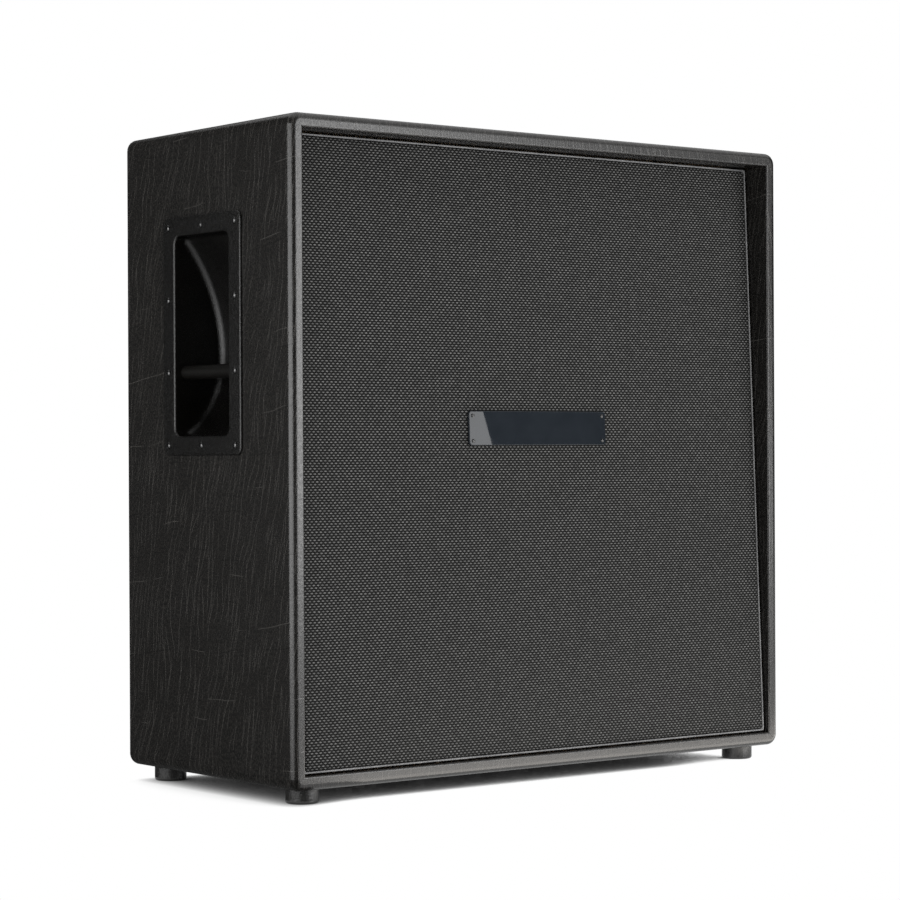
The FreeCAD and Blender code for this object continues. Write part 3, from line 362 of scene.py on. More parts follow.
wander = add_node(tree, "ShaderNodeTexNoise",
                  {"Vector": given["Position"], "Scale": wander_scale, "Detail": 2.0, "Roughness": 0.4})
drift = vector_sums(tree, "SCALE", vector_sums(tree, "SUBTRACT", wander.outputs["Color"], (0.5, 0.5, 0.5)))
drift.node.inputs["Scale"].default_value = wander_reach
drifted = vector_sums(tree, "ADD", given["Position"], drift)
moved = add_node(tree, "ShaderNodeSeparateXYZ", {0: drifted}).outputs


def either(tree, upright_value, level_value):
    chosen = add_node(tree, "ShaderNodeMix", {"Factor": level_face, 2: upright_value, 3: level_value})
    return chosen.outputs[0]


round_corner = sums(tree, "SIGN", sums(tree, "MULTIPLY", moved["X"], moved["Y"]))
round_roll = sums(tree, "SUBTRACT", moved["Y"], sums(tree, "MULTIPLY", moved["X"], round_corner))
across = either(tree, round_roll, moved["Y"])
along = either(tree, moved["Z"], moved["X"])


def strokes(tree, place, spacing, width, along_line, seed, kept_share):
    counted = sums(tree, "ADD", sums(tree, "DIVIDE", place, spacing), seed)
    cells = add_node(tree, "ShaderNodeTexVoronoi", {"W": counted, "Scale": 1.0}, voronoi_dimensions="1D",
                     feature="DISTANCE_TO_EDGE")
    lengths = add_node(tree, "ShaderNodeCombineXYZ", {
        "X": sums(tree, "FLOOR", counted), "Y": sums(tree, "MULTIPLY", along_line, breaks_per_metre),
        "Z": seed})
    kept = add_node(tree, "ShaderNodeTexNoise", {"Vector": lengths.outputs[0], "Scale": 1.0, "Detail": 0.0})
    return sums(tree, "MULTIPLY", remap(tree, cells.outputs["Distance"], 0.0, width, 1.0, 0.0),
                remap(tree, kept.outputs["Fac"], *kept_share))


# Raised hairlines along the roll, which the covering paints paler as a painted highlight.
hairline = 0.0
for slant, seed in hairline_slants:
    slanted = sums(tree, "MULTIPLY_ADD", along, slant, across)
    hairline = sums(tree, "MAXIMUM", hairline, strokes(
        tree, slanted, given["Hairline spacing"], hairline_width, along, seed, hairline_kept))
level = sums(tree, "MULTIPLY_ADD", across, cross_slant, along)
# A raised line across the roll, which the covering paints paler as a painted highlight.
cross_ridge_highlight = strokes(tree, level, cross_ridge_spacing, cross_ridge_width, across, 17.3, cross_ridge_kept)
hairline = sums(tree, "MAXIMUM", hairline, cross_ridge_highlight)
# A sunken crease, which the covering paints near black as painted shade.
crease = strokes(tree, level, crease_spacing, crease_width, across, 12.9, crease_kept)
grain_place = add_node(tree, "ShaderNodeCombineXYZ", {
    "X": sums(tree, "MULTIPLY_ADD", along, grain_slant, across),
    "Y": sums(tree, "MULTIPLY", along, grain_squash)})
pressed = add_node(tree, "ShaderNodeTexNoise", {
    "Vector": grain_place.outputs[0], "Scale": sums(tree, "DIVIDE", 1.0, given["Grain size"]),
    "Detail": 1.0, "Roughness": 0.5})
fine = remap(tree, pressed.outputs["Fac"], 0.36, 0.64)
relief = sums(tree, "MULTIPLY_ADD", hairline, hairline_rise, sums(tree, "MULTIPLY", fine, grain_rise))
vinyl_grain = finish_group(tree, {
    "Height": sums(tree, "SUBTRACT", relief, sums(tree, "MULTIPLY", crease, crease_sink)), "Grain": fine,
    "Hairline": hairline, "Crease": crease})

# %% [markdown]
# ### Plain weave
# Grille cloth is a plain weave of round threads: each weft thread passes over one warp thread and under the
# next. In one small square of the pattern, the thread that is on top arches towards the viewer and the
# other dips away. The height of an arch is a half circle across the thread and a slow wave along it, and
# the taller of the two threads is the one that shows.

# %% Weave group
tree, given = start_group(
    "plain_weave",
    [("Flat", "Vector", None), ("Pitch", "Float", 0.0030),
     ("Warp fill", "Float", 0.30), ("Weft fill", "Float", 0.31)],
    [("Height", "Float"), ("Weft", "Float"), ("Shade", "Float"), ("Thread tint", "Float")])
flat_place = add_node(tree, "ShaderNodeSeparateXYZ", {0: given["Flat"]}).outputs
count_u = sums(tree, "DIVIDE", flat_place["X"], given["Pitch"])
count_v = sums(tree, "DIVIDE", flat_place["Y"], given["Pitch"])
cell_u, cell_v = sums(tree, "FLOOR", count_u), sums(tree, "FLOOR", count_v)
off_u = sums(tree, "SUBTRACT", sums(tree, "SUBTRACT", count_u, cell_u), 0.5)
off_v = sums(tree, "SUBTRACT", sums(tree, "SUBTRACT", count_v, cell_v), 0.5)
weft_over = sums(tree, "FLOORED_MODULO", sums(tree, "ADD", cell_u, cell_v), 2.0)
side_sign = sums(tree, "MULTIPLY_ADD", weft_over, 2.0, -1.0)


def half_round(tree, offset, fill):
    ratio = sums(tree, "POWER", sums(tree, "DIVIDE", sums(tree, "ABSOLUTE", offset), fill), 2.0)
    return sums(tree, "SQRT", sums(tree, "MAXIMUM", sums(tree, "SUBTRACT", 1.0, ratio), 0.0))


def arch(tree, offset):
    return sums(tree, "COSINE", sums(tree, "MULTIPLY", offset, math.pi))


weft_wave = sums(tree, "MULTIPLY", arch(tree, off_u), side_sign)
warp_wave = sums(tree, "MULTIPLY", arch(tree, off_v), sums(tree, "MULTIPLY", side_sign, -1.0))
weft_round = half_round(tree, off_v, given["Weft fill"])
warp_round = half_round(tree, off_u, given["Warp fill"])
weft_height = sums(tree, "MULTIPLY", weft_round, sums(tree, "MULTIPLY_ADD", weft_wave, 0.5, 0.5))
warp_height = sums(tree, "MULTIPLY", warp_round, sums(tree, "MULTIPLY_ADD", warp_wave, 0.5, 0.5))
top = sums(tree, "MAXIMUM", weft_height, warp_height)
tint_place = add_node(tree, "ShaderNodeCombineXYZ", {"X": cell_u, "Y": cell_v})
tint = add_node(tree, "ShaderNodeTexWhiteNoise", {"Vector": tint_place.outputs[0]}, noise_dimensions="2D")
# Shade is painted shade: it falls as the thread on top dips away and is zero in the gaps.
plain_weave = finish_group(tree, {
    "Height": top, "Weft": sums(tree, "GREATER_THAN", weft_height, warp_height),
    "Shade": remap(tree, top, 0.10, 0.75), "Thread tint": tint.outputs["Value"]})

# %% [markdown]
# ### Wood grain and brushed metal
# The box is birch plywood: pale, with fine darker streaks along the sheet. Plated steel parts keep faint
# lines from the tool that turned or drew them. Both are noise that is stretched a long way in one
# direction.

# %% Streak group
tree, given = start_group(
    "streaks",
    [("Position", "Vector", None), ("Stretch", "Vector", (1.0, 1.0, 0.05)), ("Streak size", "Float", 0.004)],
    [("Streak", "Float"), ("Pore", "Float")])
stretched = vector_sums(tree, "MULTIPLY", given["Position"], given["Stretch"])
streak_scale = sums(tree, "DIVIDE", 1.0, given["Streak size"])
streak = add_node(tree, "ShaderNodeTexNoise", {
    "Vector": stretched, "Scale": streak_scale, "Detail": 5.0, "Roughness": 0.6, "Distortion": 0.4})
pore = add_node(tree, "ShaderNodeTexNoise", {
    "Vector": stretched, "Scale": sums(tree, "MULTIPLY", streak_scale, 7.0), "Detail": 2.0})
streaks = finish_group(tree, {"Streak": remap(tree, streak.outputs["Fac"], 0.3, 0.7),
                              "Pore": remap(tree, pore.outputs["Fac"], 0.55, 0.75)})

# %% [markdown]
# ## Finishes
# A finish is one material with one Principled shader. The helpers below make the material, place the
# effects it asks for, blend two colours by the masks that come out of them, and connect the results to the
# shader.


# %% Finish helpers
finishes = {}


def start_finish(name, **sockets):
    material = bpy.data.materials.new(name)
    material.use_nodes = True
    shader = material.node_tree.nodes["Principled BSDF"]
    for label, value in sockets.items():
        shader.inputs[label.replace("_", " ")].default_value = value
    finishes[name] = material
    return material.node_tree, shader


def object_place(tree):
    return add_node(tree, "ShaderNodeTexCoord").outputs["Object"]


def effect(tree, group, **sockets):
    placed = add_node(tree, "ShaderNodeGroup", node_tree=group)
    for label, value in sockets.items():
        socket = placed.inputs[label.replace("_", " ")]
        if isinstance(value, bpy.types.NodeSocket):
            tree.links.new(value, socket)
        else:
            socket.default_value = value
    return placed.outputs


def blend_colours(tree, factor, first, second):
    mix = add_node(tree, "ShaderNodeMix", {"Factor": factor}, data_type="RGBA")
    for socket, value in ((mix.inputs[6], first), (mix.inputs[7], second)):
        if isinstance(value, bpy.types.NodeSocket):
            tree.links.new(value, socket)
        else:
            socket.default_value = (*value, 1.0)
    return mix.outputs[2]


def connect(tree, shader, colour=None, roughness=None, height=None, depth=0.0005, strength=0.5):
    if colour is not None:
        tree.links.new(colour, shader.inputs["Base Color"])
    if roughness is not None:
        tree.links.new(roughness, shader.inputs["Roughness"])
    if height is not None:
        bump = add_node(tree, "ShaderNodeBump", {"Height": height, "Distance": depth, "Strength": strength})
        tree.links.new(bump.outputs["Normal"], shader.inputs["Normal"])


# %% [markdown]
# ### Vinyl on the box
# The hairlines and the lines across are painted paler than the ground, a painted highlight on their ridges.
# The hollows of the grain are painted darker than its tops and the creases near black, both painted shade,
# and the tops of the grain are smoother than the hollows between them. At each front and back corner the
# vinyl is cut and folded, which leaves a mitre seam: a thin dark line on the diagonal where the distance
# from the side equals the distance from the top or the bottom. Those distances are counted from the box
# round the solid shell.


# %% Covering
def node_box(name):
    return [[round(value, 6) for value in corner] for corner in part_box(name)]


(_, shell_front, shell_foot), (shell_side, shell_back, shell_top) = node_box("shell_covering")
front_rim, rounded_edge = 0.0165, 0.008
seam_width, seam_overrun = 0.0008, 0.002
tree, shader = start_finish("covering", Specular_IOR_Level=0.60)
place = object_place(tree)
normal = add_node(tree, "ShaderNodeNewGeometry").outputs["Normal"]
grain = effect(tree, vinyl_grain, Position=place, Normal=normal)
clouds = effect(tree, mottling, Position=place, Cloud_size=0.09)
axes = add_node(tree, "ShaderNodeSeparateXYZ", {0: place}).outputs
from_side = sums(tree, "SUBTRACT", shell_side, sums(tree, "ABSOLUTE", axes["X"]))
from_bottom = sums(tree, "SUBTRACT", axes["Z"], shell_foot)
from_end = sums(tree, "MINIMUM", from_bottom, sums(tree, "SUBTRACT", shell_top, axes["Z"]))
off_mitre = sums(tree, "ABSOLUTE", sums(tree, "SUBTRACT", from_side, from_end))
near_face = remap(tree, sums(tree, "ABSOLUTE", axes["Y"]), shell_back - rounded_edge,
                  shell_back - rounded_edge / 2)
in_rim = sums(tree, "LESS_THAN", sums(tree, "MAXIMUM", from_side, from_end), front_rim + seam_overrun)
seam = sums(tree, "MULTIPLY", remap(tree, off_mitre, 0.0, seam_width, 1.0, 0.0),
            sums(tree, "MULTIPLY", near_face, in_rim))
dark = blend_colours(tree, clouds["Cloud"], (0.0095, 0.0086, 0.0076), (0.0125, 0.0116, 0.0106))
# Painted shade: the hollows of the grain are painted darker than its tops.
with_painted_hollow_shade = blend_colours(tree, grain["Grain"], (0.0026, 0.0023, 0.0020), dark)
# Painted highlight: the hairlines and the lines across are painted paler than the ground.
with_painted_ridge_highlight = blend_colours(tree, grain["Hairline"], with_painted_hollow_shade, (0.058, 0.055, 0.051))
# Painted shade: the creases are painted near black.
with_painted_crease_shade = blend_colours(tree, grain["Crease"], with_painted_ridge_highlight, (0.0012, 0.0011, 0.0010))
connect(tree, shader, colour=blend_colours(tree, seam, with_painted_crease_shade, (0.003, 0.003, 0.003)),
        roughness=sums(tree, "MULTIPLY_ADD", grain["Grain"], -0.06, 0.31),
        height=sums(tree, "SUBTRACT", grain["Height"], seam), depth=0.0006, strength=0.12)
print("finish covering")

# %% [markdown]
# ### Grille cloth
# The weft is grey and the warp much darker, so the cloth shows rows of short pale dashes. Painted shade
# darkens each thread as it dips away, down to near black in the gaps between them. It reads the sheet's own
# flat map in metres, which keeps the threads straight and lets them follow the turned edges.

# %% Cloth finish
tree, shader = start_finish("grille_weave", Specular_IOR_Level=0.12)
flat = add_node(tree, "ShaderNodeUVMap", uv_map="flat_cloth").outputs["UV"]
weave = effect(tree, plain_weave, Flat=flat, Pitch=0.0030)
fuzz = effect(tree, mottling, Position=object_place(tree), Cloud_size=0.12, Speckle_size=0.0008)
weft_tone = blend_colours(tree, weave["Thread tint"], (0.100, 0.100, 0.098), (0.165, 0.164, 0.160))
thread = blend_colours(tree, weave["Weft"], (0.016, 0.016, 0.0155), weft_tone)
# Painted shade: threads darken as they dip away, and the gaps between them go near black.
shaded = blend_colours(tree, weave["Shade"], (0.0015, 0.0015, 0.0015), thread)
connect(tree, shader, colour=shaded, roughness=sums(tree, "MULTIPLY_ADD", fuzz["Speckle"], 0.15, 0.72),
        height=weave["Height"], depth=0.0009, strength=0.8)
print("finish grille_weave")

# %% [markdown]
# ### Piping, badge and mouldings
# The piping is a thin grey vinyl cord. The badge is a polished blue black plate, so its roughness is close
# to nothing and it mirrors the end of a lamp. The handle cup and the socket dish are moulded with a fine
# texture, the cup with more gloss than the dish. The same recipe with other values serves for rubber,
# paint, paper, cloth, card and ferrite: two tones, a roughness, the size of the texture and the gloss.

# %% Trim finishes
tree, shader = start_finish("piping")
soil = effect(tree, mottling, Position=object_place(tree), Cloud_size=0.03, Speckle_size=0.0007)
connect(tree, shader, colour=blend_colours(tree, soil["Cloud"], (0.165, 0.165, 0.167), (0.245, 0.245, 0.245)),
        roughness=sums(tree, "MULTIPLY_ADD", soil["Cloud"], 0.15, 0.42), height=soil["Speckle"], depth=0.0002)
print("finish piping")

tree, shader = start_finish("badge", Specular_IOR_Level=0.26)
haze = effect(tree, mottling, Position=object_place(tree), Cloud_size=0.05, Speckle_size=0.0006)
polished = blend_colours(tree, haze["Cloud"], (0.014, 0.0172, 0.0215), (0.018, 0.0218, 0.0268))
connect(tree, shader, colour=polished, roughness=sums(tree, "MULTIPLY_ADD", haze["Cloud"], 0.012, 0.004))
print("finish badge")


def moulded(name, low, high, rough, texture, gloss=0.45):
    tree, shader = start_finish(name, Specular_IOR_Level=gloss)
    skin = effect(tree, mottling, Position=object_place(tree), Cloud_size=0.04, Speckle_size=texture)
    tone = sums(tree, "MULTIPLY_ADD", skin["Cloud"], 0.6, sums(tree, "MULTIPLY", skin["Speckle"], 0.4))
    connect(tree, shader, colour=blend_colours(tree, tone, low, high),
            roughness=sums(tree, "MULTIPLY_ADD", skin["Speckle"], 0.14, rough),
            height=skin["Speckle"], depth=0.00025, strength=0.45)
    print("finish", name)


moulded("handle_moulding", (0.0010, 0.0009, 0.0008), (0.0028, 0.0026, 0.0022), 0.16, 0.0009, gloss=0.5)
moulded("dish_moulding", (0.012, 0.012, 0.012), (0.022, 0.022, 0.022), 0.42, 0.0009)
moulded("handle_bar", (0.0022, 0.0020, 0.0017), (0.0046, 0.0042, 0.0036), 0.34, 0.0016, gloss=0.22)
moulded("rubber", (0.004, 0.004, 0.0038), (0.018, 0.018, 0.017), 0.30, 0.0022, gloss=0.6)
moulded("lead_sheath", (0.012, 0.012, 0.012), (0.020, 0.020, 0.020), 0.45, 0.0008)
moulded("basket_paint", (0.030, 0.030, 0.032), (0.048, 0.048, 0.051), 0.36, 0.0014)
moulded("cone_paper", (0.022, 0.020, 0.018), (0.044, 0.040, 0.036), 0.80, 0.0018)
moulded("suspension_cloth", (0.050, 0.038, 0.024), (0.085, 0.066, 0.042), 0.85, 0.0007)
moulded("gasket_board", (0.16, 0.125, 0.088), (0.24, 0.19, 0.135), 0.82, 0.0010)
moulded("magnet_ferrite", (0.040, 0.040, 0.042), (0.062, 0.062, 0.065), 0.52, 0.0008)

# %% [markdown]
# ### Bare wood and plated metal
# The inside is bare plywood. The metal parts are zinc, nickel, copper or steel, and the screws that show
# are blackened. A full Metallic value makes the shader reflect the room in the metal's own colour, and the
# streaks break that reflection up.

# %% Wood and metal finishes
tree, shader = start_finish("plywood")
wood = effect(tree, streaks, Position=object_place(tree), Stretch=(1.0, 1.0, 0.06), Streak_size=0.012)
pale = blend_colours(tree, wood["Streak"], (0.50, 0.355, 0.21), (0.62, 0.47, 0.30))
connect(tree, shader, colour=blend_colours(tree, wood["Pore"], pale, (0.34, 0.22, 0.12)),
        roughness=sums(tree, "MULTIPLY_ADD", wood["Streak"], 0.15, 0.55), height=wood["Streak"], depth=0.0002)
print("finish plywood")


def plated(name, low, high, rough, stretch):
    tree, shader = start_finish(name, Metallic=1.0)
    lines = effect(tree, streaks, Position=object_place(tree), Stretch=stretch, Streak_size=0.0016)
    connect(tree, shader, colour=blend_colours(tree, lines["Streak"], low, high),
            roughness=sums(tree, "MULTIPLY_ADD", lines["Streak"], 0.14, rough),
            height=lines["Streak"], depth=0.0001, strength=0.3)
    print("finish", name)


plated("zinc_hardware", (0.52, 0.52, 0.50), (0.64, 0.64, 0.61), 0.28, (1.0, 0.08, 1.0))
plated("nickel", (0.68, 0.66, 0.62), (0.78, 0.76, 0.72), 0.14, (1.0, 0.06, 1.0))
plated("coil_copper", (0.48, 0.21, 0.10), (0.64, 0.31, 0.16), 0.32, (0.08, 1.0, 0.08))
plated("black_screws", (0.07, 0.07, 0.07), (0.12, 0.12, 0.12), 0.16, (1.0, 1.0, 1.0))
plated("pole_steel", (0.42, 0.41, 0.39), (0.56, 0.55, 0.52), 0.30, (1.0, 0.08, 1.0))

# %% [markdown]
# ## Dress the solid parts
# Each part knows which finish it takes, so one loop hands out the materials. Anything that is replaced
# further down keeps its solid for collisions and is hidden.

# %% Hand out the finishes
for name, part in parts.items():
    part.data.materials.clear()
    part.data.materials.append(finishes[finish_of[name]])
print("dressed", len(parts), "parts")

# %% [markdown]
# ## The stretched cloth
# The cloth is pulled flat over a light frame, turned back over its rounded edges and fixed behind. A sheet
# could be pulled tight by simulation, but a flat stretched panel has a simple rule: every point of the cut
# sheet keeps its distance along the surface, first across the flat face, then round the edge, then straight
# back. Hand stretching leaves very shallow waves, which are added to the flat part. The panel fills the
# front rim less a gap, and the cloth keeps clear of the piping round it.

# %% Where the cloth lies
lean = math.radians(2.42)
grille_inset, grille_gap, piping_diameter, clearance = 0.0065, 0.0020, 0.0022, 0.0003
corner_radius, edge_radius, turned_back = 0.0036, 0.0032, 0.0065
panel_margin = front_rim + grille_gap
panel_foot = shell_foot + panel_margin
foot_of_panel = Vector((0.0, shell_front + grille_inset, panel_foot))
panel_up = Vector((0.0, math.sin(lean), math.cos(lean)))
panel_out = Vector((0.0, -math.cos(lean), math.sin(lean)))
panel_height = (shell_top - shell_foot - 2 * panel_margin) / math.cos(lean)
cloth_margin = piping_diameter + clearance
cloth_half_width = shell_side - panel_margin - cloth_margin
cloth_half_height = panel_height / 2 - cloth_margin
cloth_middle = panel_height / 2


def on_panel(across, up, out=0.0):
    return foot_of_panel + Vector((across, 0.0, 0.0)) + panel_up * up + panel_out * out


print("cloth face", round(2 * cloth_half_width, 4), "x", round(2 * cloth_half_height, 4), "m")

# %% Lay the sheet over its frame
flat_count, bend_count = 60, 6
wave_height = 0.0004
flat_run = corner_radius - edge_radius
quarter_bend = edge_radius * math.pi / 2
run_over = flat_run + quarter_bend + turned_back
core_width, core_height = cloth_half_width - corner_radius, cloth_half_height - corner_radius


def turn_over_edge(travel):
    bend = min(max(travel - flat_run, 0.0) / edge_radius, math.pi / 2)
    straight = max(travel - flat_run - quarter_bend, 0.0)
    outward = min(travel, flat_run) + edge_radius * math.sin(bend)
    return outward, edge_radius * (1.0 - math.cos(bend)) + straight


def steps(half_flat):
    flat_steps = [half_flat * (2 * step / flat_count - 1) for step in range(flat_count + 1)]
    over = [flat_run + quarter_bend * step / bend_count for step in range(bend_count + 1)]
    over.append(run_over)
    return [-half_flat - run for run in reversed(over)] + flat_steps + [half_flat + run for run in over]


def stretch_wave(x, z):
    ease = max(0.0, 1 - (x / core_width) ** 2) * max(0.0, 1 - (z / core_height) ** 2)
    return wave_height * ease * (math.sin(9.0 * x + 2.0 * z) + math.sin(5.0 * z - 4.0 * x) - 1.0)


sheet = bmesh.new()
flat_map = sheet.loops.layers.uv.new("flat_cloth")
rows, flat_places = [], {}
for up in steps(core_height):
    row = []
    for across in steps(core_width):
        past = Vector((max(abs(across) - core_width, 0.0), max(abs(up) - core_height, 0.0)))
        outward, back = turn_over_edge(past.length)
        push = past.normalized() * outward
        x = math.copysign(min(abs(across), core_width) + push.x, across)
        z = math.copysign(min(abs(up), core_height) + push.y, up)
        vert = sheet.verts.new(on_panel(x, cloth_middle + z, stretch_wave(x, z) - back))
        flat_places[vert] = (across, up)
        row.append(vert)
    rows.append(row)
for low, high in zip(rows, rows[1:]):
    for left in range(len(low) - 1):
        face = sheet.faces.new((low[left], low[left + 1], high[left + 1], high[left]))
        face.smooth = True
        for loop in face.loops:
            loop[flat_map].uv = flat_places[loop.vert]
cloth_mesh = bpy.data.meshes.new("stretched_cloth")
sheet.to_mesh(cloth_mesh)
sheet.free()
cloth = bpy.data.objects.new("stretched_cloth", cloth_mesh)
scene.collection.objects.link(cloth)
cloth_mesh.materials.append(finishes["grille_weave"])
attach(cloth, "cabinet")
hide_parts("grille_cloth")

# %% [markdown]
# ## Screw heads
# Forty-two screws show on the outside, all with a low rounded head and a cross recess. The head is turned
# once from its profile and the cross is cut out of it. Geometry Nodes then set a copy on every seat, face
# it outwards, give it a turn of its own, and scale it to its size, so a change to a row of screws is a
# change to a list of points. The profile and the cross are shares of the head's diameter and rise.

# %% One screw head
head_profile_shares = [(0.0, 0.0), (0.5, 0.0), (0.5, 0.22), (0.485, 0.42), (0.44, 0.64), (0.36, 0.83),
                       (0.25, 0.95), (0.12, 1.0), (0.0, 1.0)]
arm_length_share, arm_width_share, arm_foot_share = 0.56, 0.12, 0.55
arm_middle_share, arm_depth_share = 0.95, 1.1
head_slices = 32


def turned_head():
    turned = bmesh.new()
    edge = [turned.verts.new((radius, 0.0, height)) for radius, height in head_profile_shares]
    edges = [turned.edges.new(pair) for pair in zip(edge, edge[1:])]
    bmesh.ops.spin(turned, geom=edge + edges, cent=(0, 0, 0), axis=(0, 0, 1), angle=2 * math.pi,
                   steps=head_slices)
    bmesh.ops.remove_doubles(turned, verts=turned.verts, dist=1e-4)
    bmesh.ops.recalc_face_normals(turned, faces=turned.faces)
    mesh = bpy.data.meshes.new("screw_head")
    turned.to_mesh(mesh)
    turned.free()
    return mesh


def cross_cutter():
    cutter = bmesh.new()
    for angle in (0.0, math.pi / 2):
        arm = bmesh.ops.create_cube(cutter, size=1.0)["verts"]
        for vert in arm:
            taper = 1.0 if vert.co.z > 0 else arm_foot_share
            vert.co = Vector((vert.co.x * arm_length_share * taper, vert.co.y * arm_width_share * taper,
                              arm_middle_share + vert.co.z * arm_depth_share))
        bmesh.ops.rotate(cutter, verts=arm, cent=(0, 0, 0), matrix=Matrix.Rotation(angle, 3, "Z"))
    mesh = bpy.data.meshes.new("cross_cutter")
    cutter.to_mesh(mesh)
    cutter.free()
    return mesh


def baked(holder):
    return bpy.data.meshes.new_from_object(holder.evaluated_get(bpy.context.evaluated_depsgraph_get()))


head = bpy.data.objects.new("screw_head", turned_head())
cutter = bpy.data.objects.new("cross_cutter", cross_cutter())
for tool in (head, cutter):
    scene.collection.objects.link(tool)
cut = head.modifiers.new("cross", "BOOLEAN")
cut.operation, cut.solver, cut.object, cut.use_self = "DIFFERENCE", "EXACT", cutter, True
head_mesh = baked(head)
for tool in (head, cutter):
    bpy.data.objects.remove(tool)
print("screw head faces:", len(head_mesh.polygons))

# %% Screw rows in Geometry Nodes
quarter_turn = 1.57
rows_tree = bpy.data.node_groups.new("screw_rows", "GeometryNodeTree")
row_sockets = rows_tree.interface
row_sockets.new_socket("Geometry", in_out="INPUT", socket_type="NodeSocketGeometry")
for label, kind in (("Head", "Object"), ("Diameter", "Float"), ("Rise", "Float"), ("Outward", "Vector"),
                    ("Finish", "Material"), ("Seed", "Int")):
    row_sockets.new_socket(label, in_out="INPUT", socket_type="NodeSocket" + kind)
row_sockets.new_socket("Geometry", in_out="OUTPUT", socket_type="NodeSocketGeometry")
given = add_node(rows_tree, "NodeGroupInput").outputs
template = add_node(rows_tree, "GeometryNodeObjectInfo", {"Object": given["Head"]})
spin = add_node(rows_tree, "FunctionNodeRandomValue", {
    "Min": 0.0, "Max": quarter_turn, "Seed": given["Seed"]}, data_type="FLOAT")
outward = add_node(rows_tree, "FunctionNodeAlignRotationToVector", {"Vector": given["Outward"]}, axis="Z")
own_turn = add_node(rows_tree, "FunctionNodeAxisAngleToRotation", {"Axis": (0, 0, 1)})
rows_tree.links.new(spin.outputs["Value"], own_turn.inputs["Angle"])
facing = add_node(rows_tree, "FunctionNodeRotateRotation", {
    "Rotation": outward.outputs[0], "Rotate By": own_turn.outputs[0]}, rotation_space="LOCAL")
head_scale = add_node(rows_tree, "ShaderNodeCombineXYZ", {
    "X": given["Diameter"], "Y": given["Diameter"], "Z": given["Rise"]})
copies = add_node(rows_tree, "GeometryNodeInstanceOnPoints", {
    "Points": given["Geometry"], "Instance": template.outputs["Geometry"], "Rotation": facing.outputs[0],
    "Scale": head_scale.outputs[0]})
solid = add_node(rows_tree, "GeometryNodeRealizeInstances", {"Geometry": copies.outputs[0]})
painted = add_node(rows_tree, "GeometryNodeSetMaterial", {
    "Geometry": solid.outputs[0], "Material": given["Finish"]})
add_node(rows_tree, "NodeGroupOutput", {"Geometry": painted.outputs[0]})
print("screw rows tree:", len(rows_tree.nodes), "nodes")

# %% [markdown]
# ### Where the screws sit
# The outermost heads of a row touch the ends of the box round the solid screws, so their seats lie half a
# head inside it. A solid head is made of short flats and falls a hair short of its full width, and rounding
# to a tenth of a millimetre makes up for that. Inside those ends the seats are spread evenly along a
# border. The badge leans with the cloth, so its screws are set on the panel instead, at a margin from the
# edges of the plate.


# %% Set a row of screws
def set_screws(name, node, places, outward, diameter, rise, seed):
    template = bpy.data.objects.new("head_template", head_mesh)
    points = bpy.data.meshes.new(name)
    points.from_pydata(places, [], [])
    holder = bpy.data.objects.new(name, points)
    scene.collection.objects.link(holder)
    row = holder.modifiers.new("screw_rows", "NODES")
    row.node_group = rows_tree
    values = {"Head": template, "Diameter": diameter, "Rise": rise, "Outward": outward,
              "Finish": finishes[finish_of[node]], "Seed": seed}
    for item in rows_tree.interface.items_tree:
        if item.in_out == "INPUT" and item.name in values:
            row[item.identifier] = values[item.name]
    mesh = baked(holder)
    bpy.data.objects.remove(template)
    holder.modifiers.clear()
    holder.data = mesh
    return holder


def seat_ends(node, axis, diameter):
    low, high = node_box(node)
    return round(low[axis] + diameter / 2, 4), round(high[axis] - diameter / 2, 4)


def spread(low, high, count):
    return [low + (high - low) * step / (count - 1) for step in range(count)]


def border(u_ends, v_ends, u_count, v_count):
    places = [(u, v) for u in spread(*u_ends, u_count) for v in v_ends]
    return places + [(u, v) for v in spread(*v_ends, v_count)[1:-1] for u in u_ends]


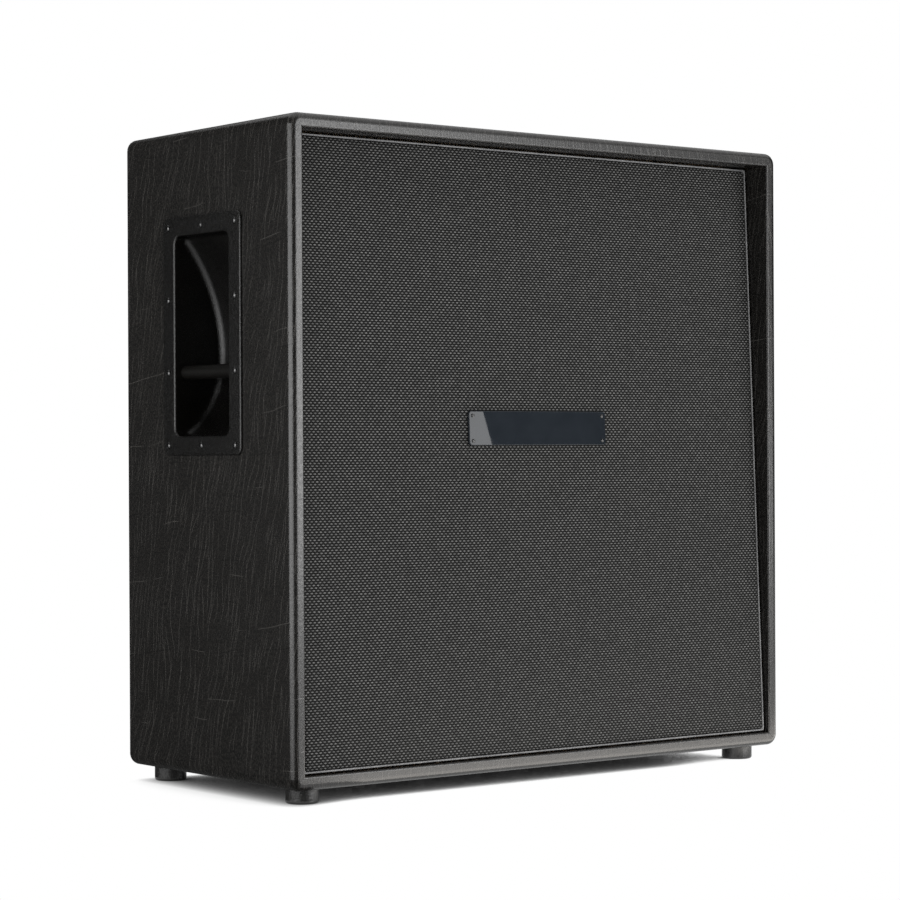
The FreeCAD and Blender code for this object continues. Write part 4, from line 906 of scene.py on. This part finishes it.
def merge_rows(name, node, holders):
    joined = bmesh.new()
    for holder in holders:
        joined.from_mesh(holder.data)
        bpy.data.objects.remove(holder)
    mesh = bpy.data.meshes.new(name)
    joined.to_mesh(mesh)
    joined.free()
    mesh.materials.append(finishes[finish_of[node]])
    screws = bpy.data.objects.new(name, mesh)
    scene.collection.objects.link(screws)
    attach(screws, "cabinet")
    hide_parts(node)
    print(name, len(mesh.polygons), "faces")


# %% Screws in the handles
handle_head, handle_rise = 0.0082, 0.0022
handle_face = node_box("handle_cup_right")[1][0]
handle_border = border(seat_ends("handle_screws", 1, handle_head),
                       seat_ends("handle_screws", 2, handle_head), 3, 4)
merge_rows("handle_screw_heads", "handle_screws", [
    set_screws("handle_row", "handle_screws", [(side * handle_face, y, z) for y, z in handle_border],
               (side, 0.0, 0.0), handle_head, handle_rise, seed=3) for side in (-1.0, 1.0)])


# %% Screws in the rear panel and the socket dish
def rear_facing_screws(name, node, carrier, diameter, rise, across_count, up_count, seed):
    back = node_box(carrier)[1][1]
    seats = border(seat_ends(node, 0, diameter), seat_ends(node, 2, diameter), across_count, up_count)
    places = [(x, back, z) for x, z in seats]
    merge_rows(name + "_screw_heads", node, [
        set_screws(name + "_row", node, places, (0.0, 1.0, 0.0), diameter, rise, seed)])


rear_facing_screws("rear", "rear_panel_screws", "rear_covering", 0.0090, 0.0026, 4, 5, seed=5)
rear_facing_screws("dish", "jack_dish_screws", "jack_dish", 0.0070, 0.0020, 2, 2, seed=7)

# %% Screws in the badge
badge_head, badge_head_rise = 0.0046, 0.0014
badge_height, badge_thickness, badge_screw_margin = 0.041, 0.0030, 0.0055
badge_over_middle = 0.027
badge_low, badge_high = node_box("badge_plate")
badge_centre = (badge_low[0] + badge_high[0]) / 2
half_across = (badge_high[0] - badge_low[0]) / 2 - badge_screw_margin
half_up = badge_height / 2 - badge_screw_margin
badge_level = (shell_foot + shell_top) / 2 + badge_over_middle - panel_foot
badge_seats = [tuple(on_panel(badge_centre + x, badge_level + z, clearance + badge_thickness))
               for x, z in border((-half_across, half_across), (-half_up, half_up), 2, 2)]
merge_rows("badge_screw_heads", "badge_screws", [
    set_screws("badge_row", "badge_screws", badge_seats, tuple(panel_out), badge_head, badge_head_rise,
               seed=9)])
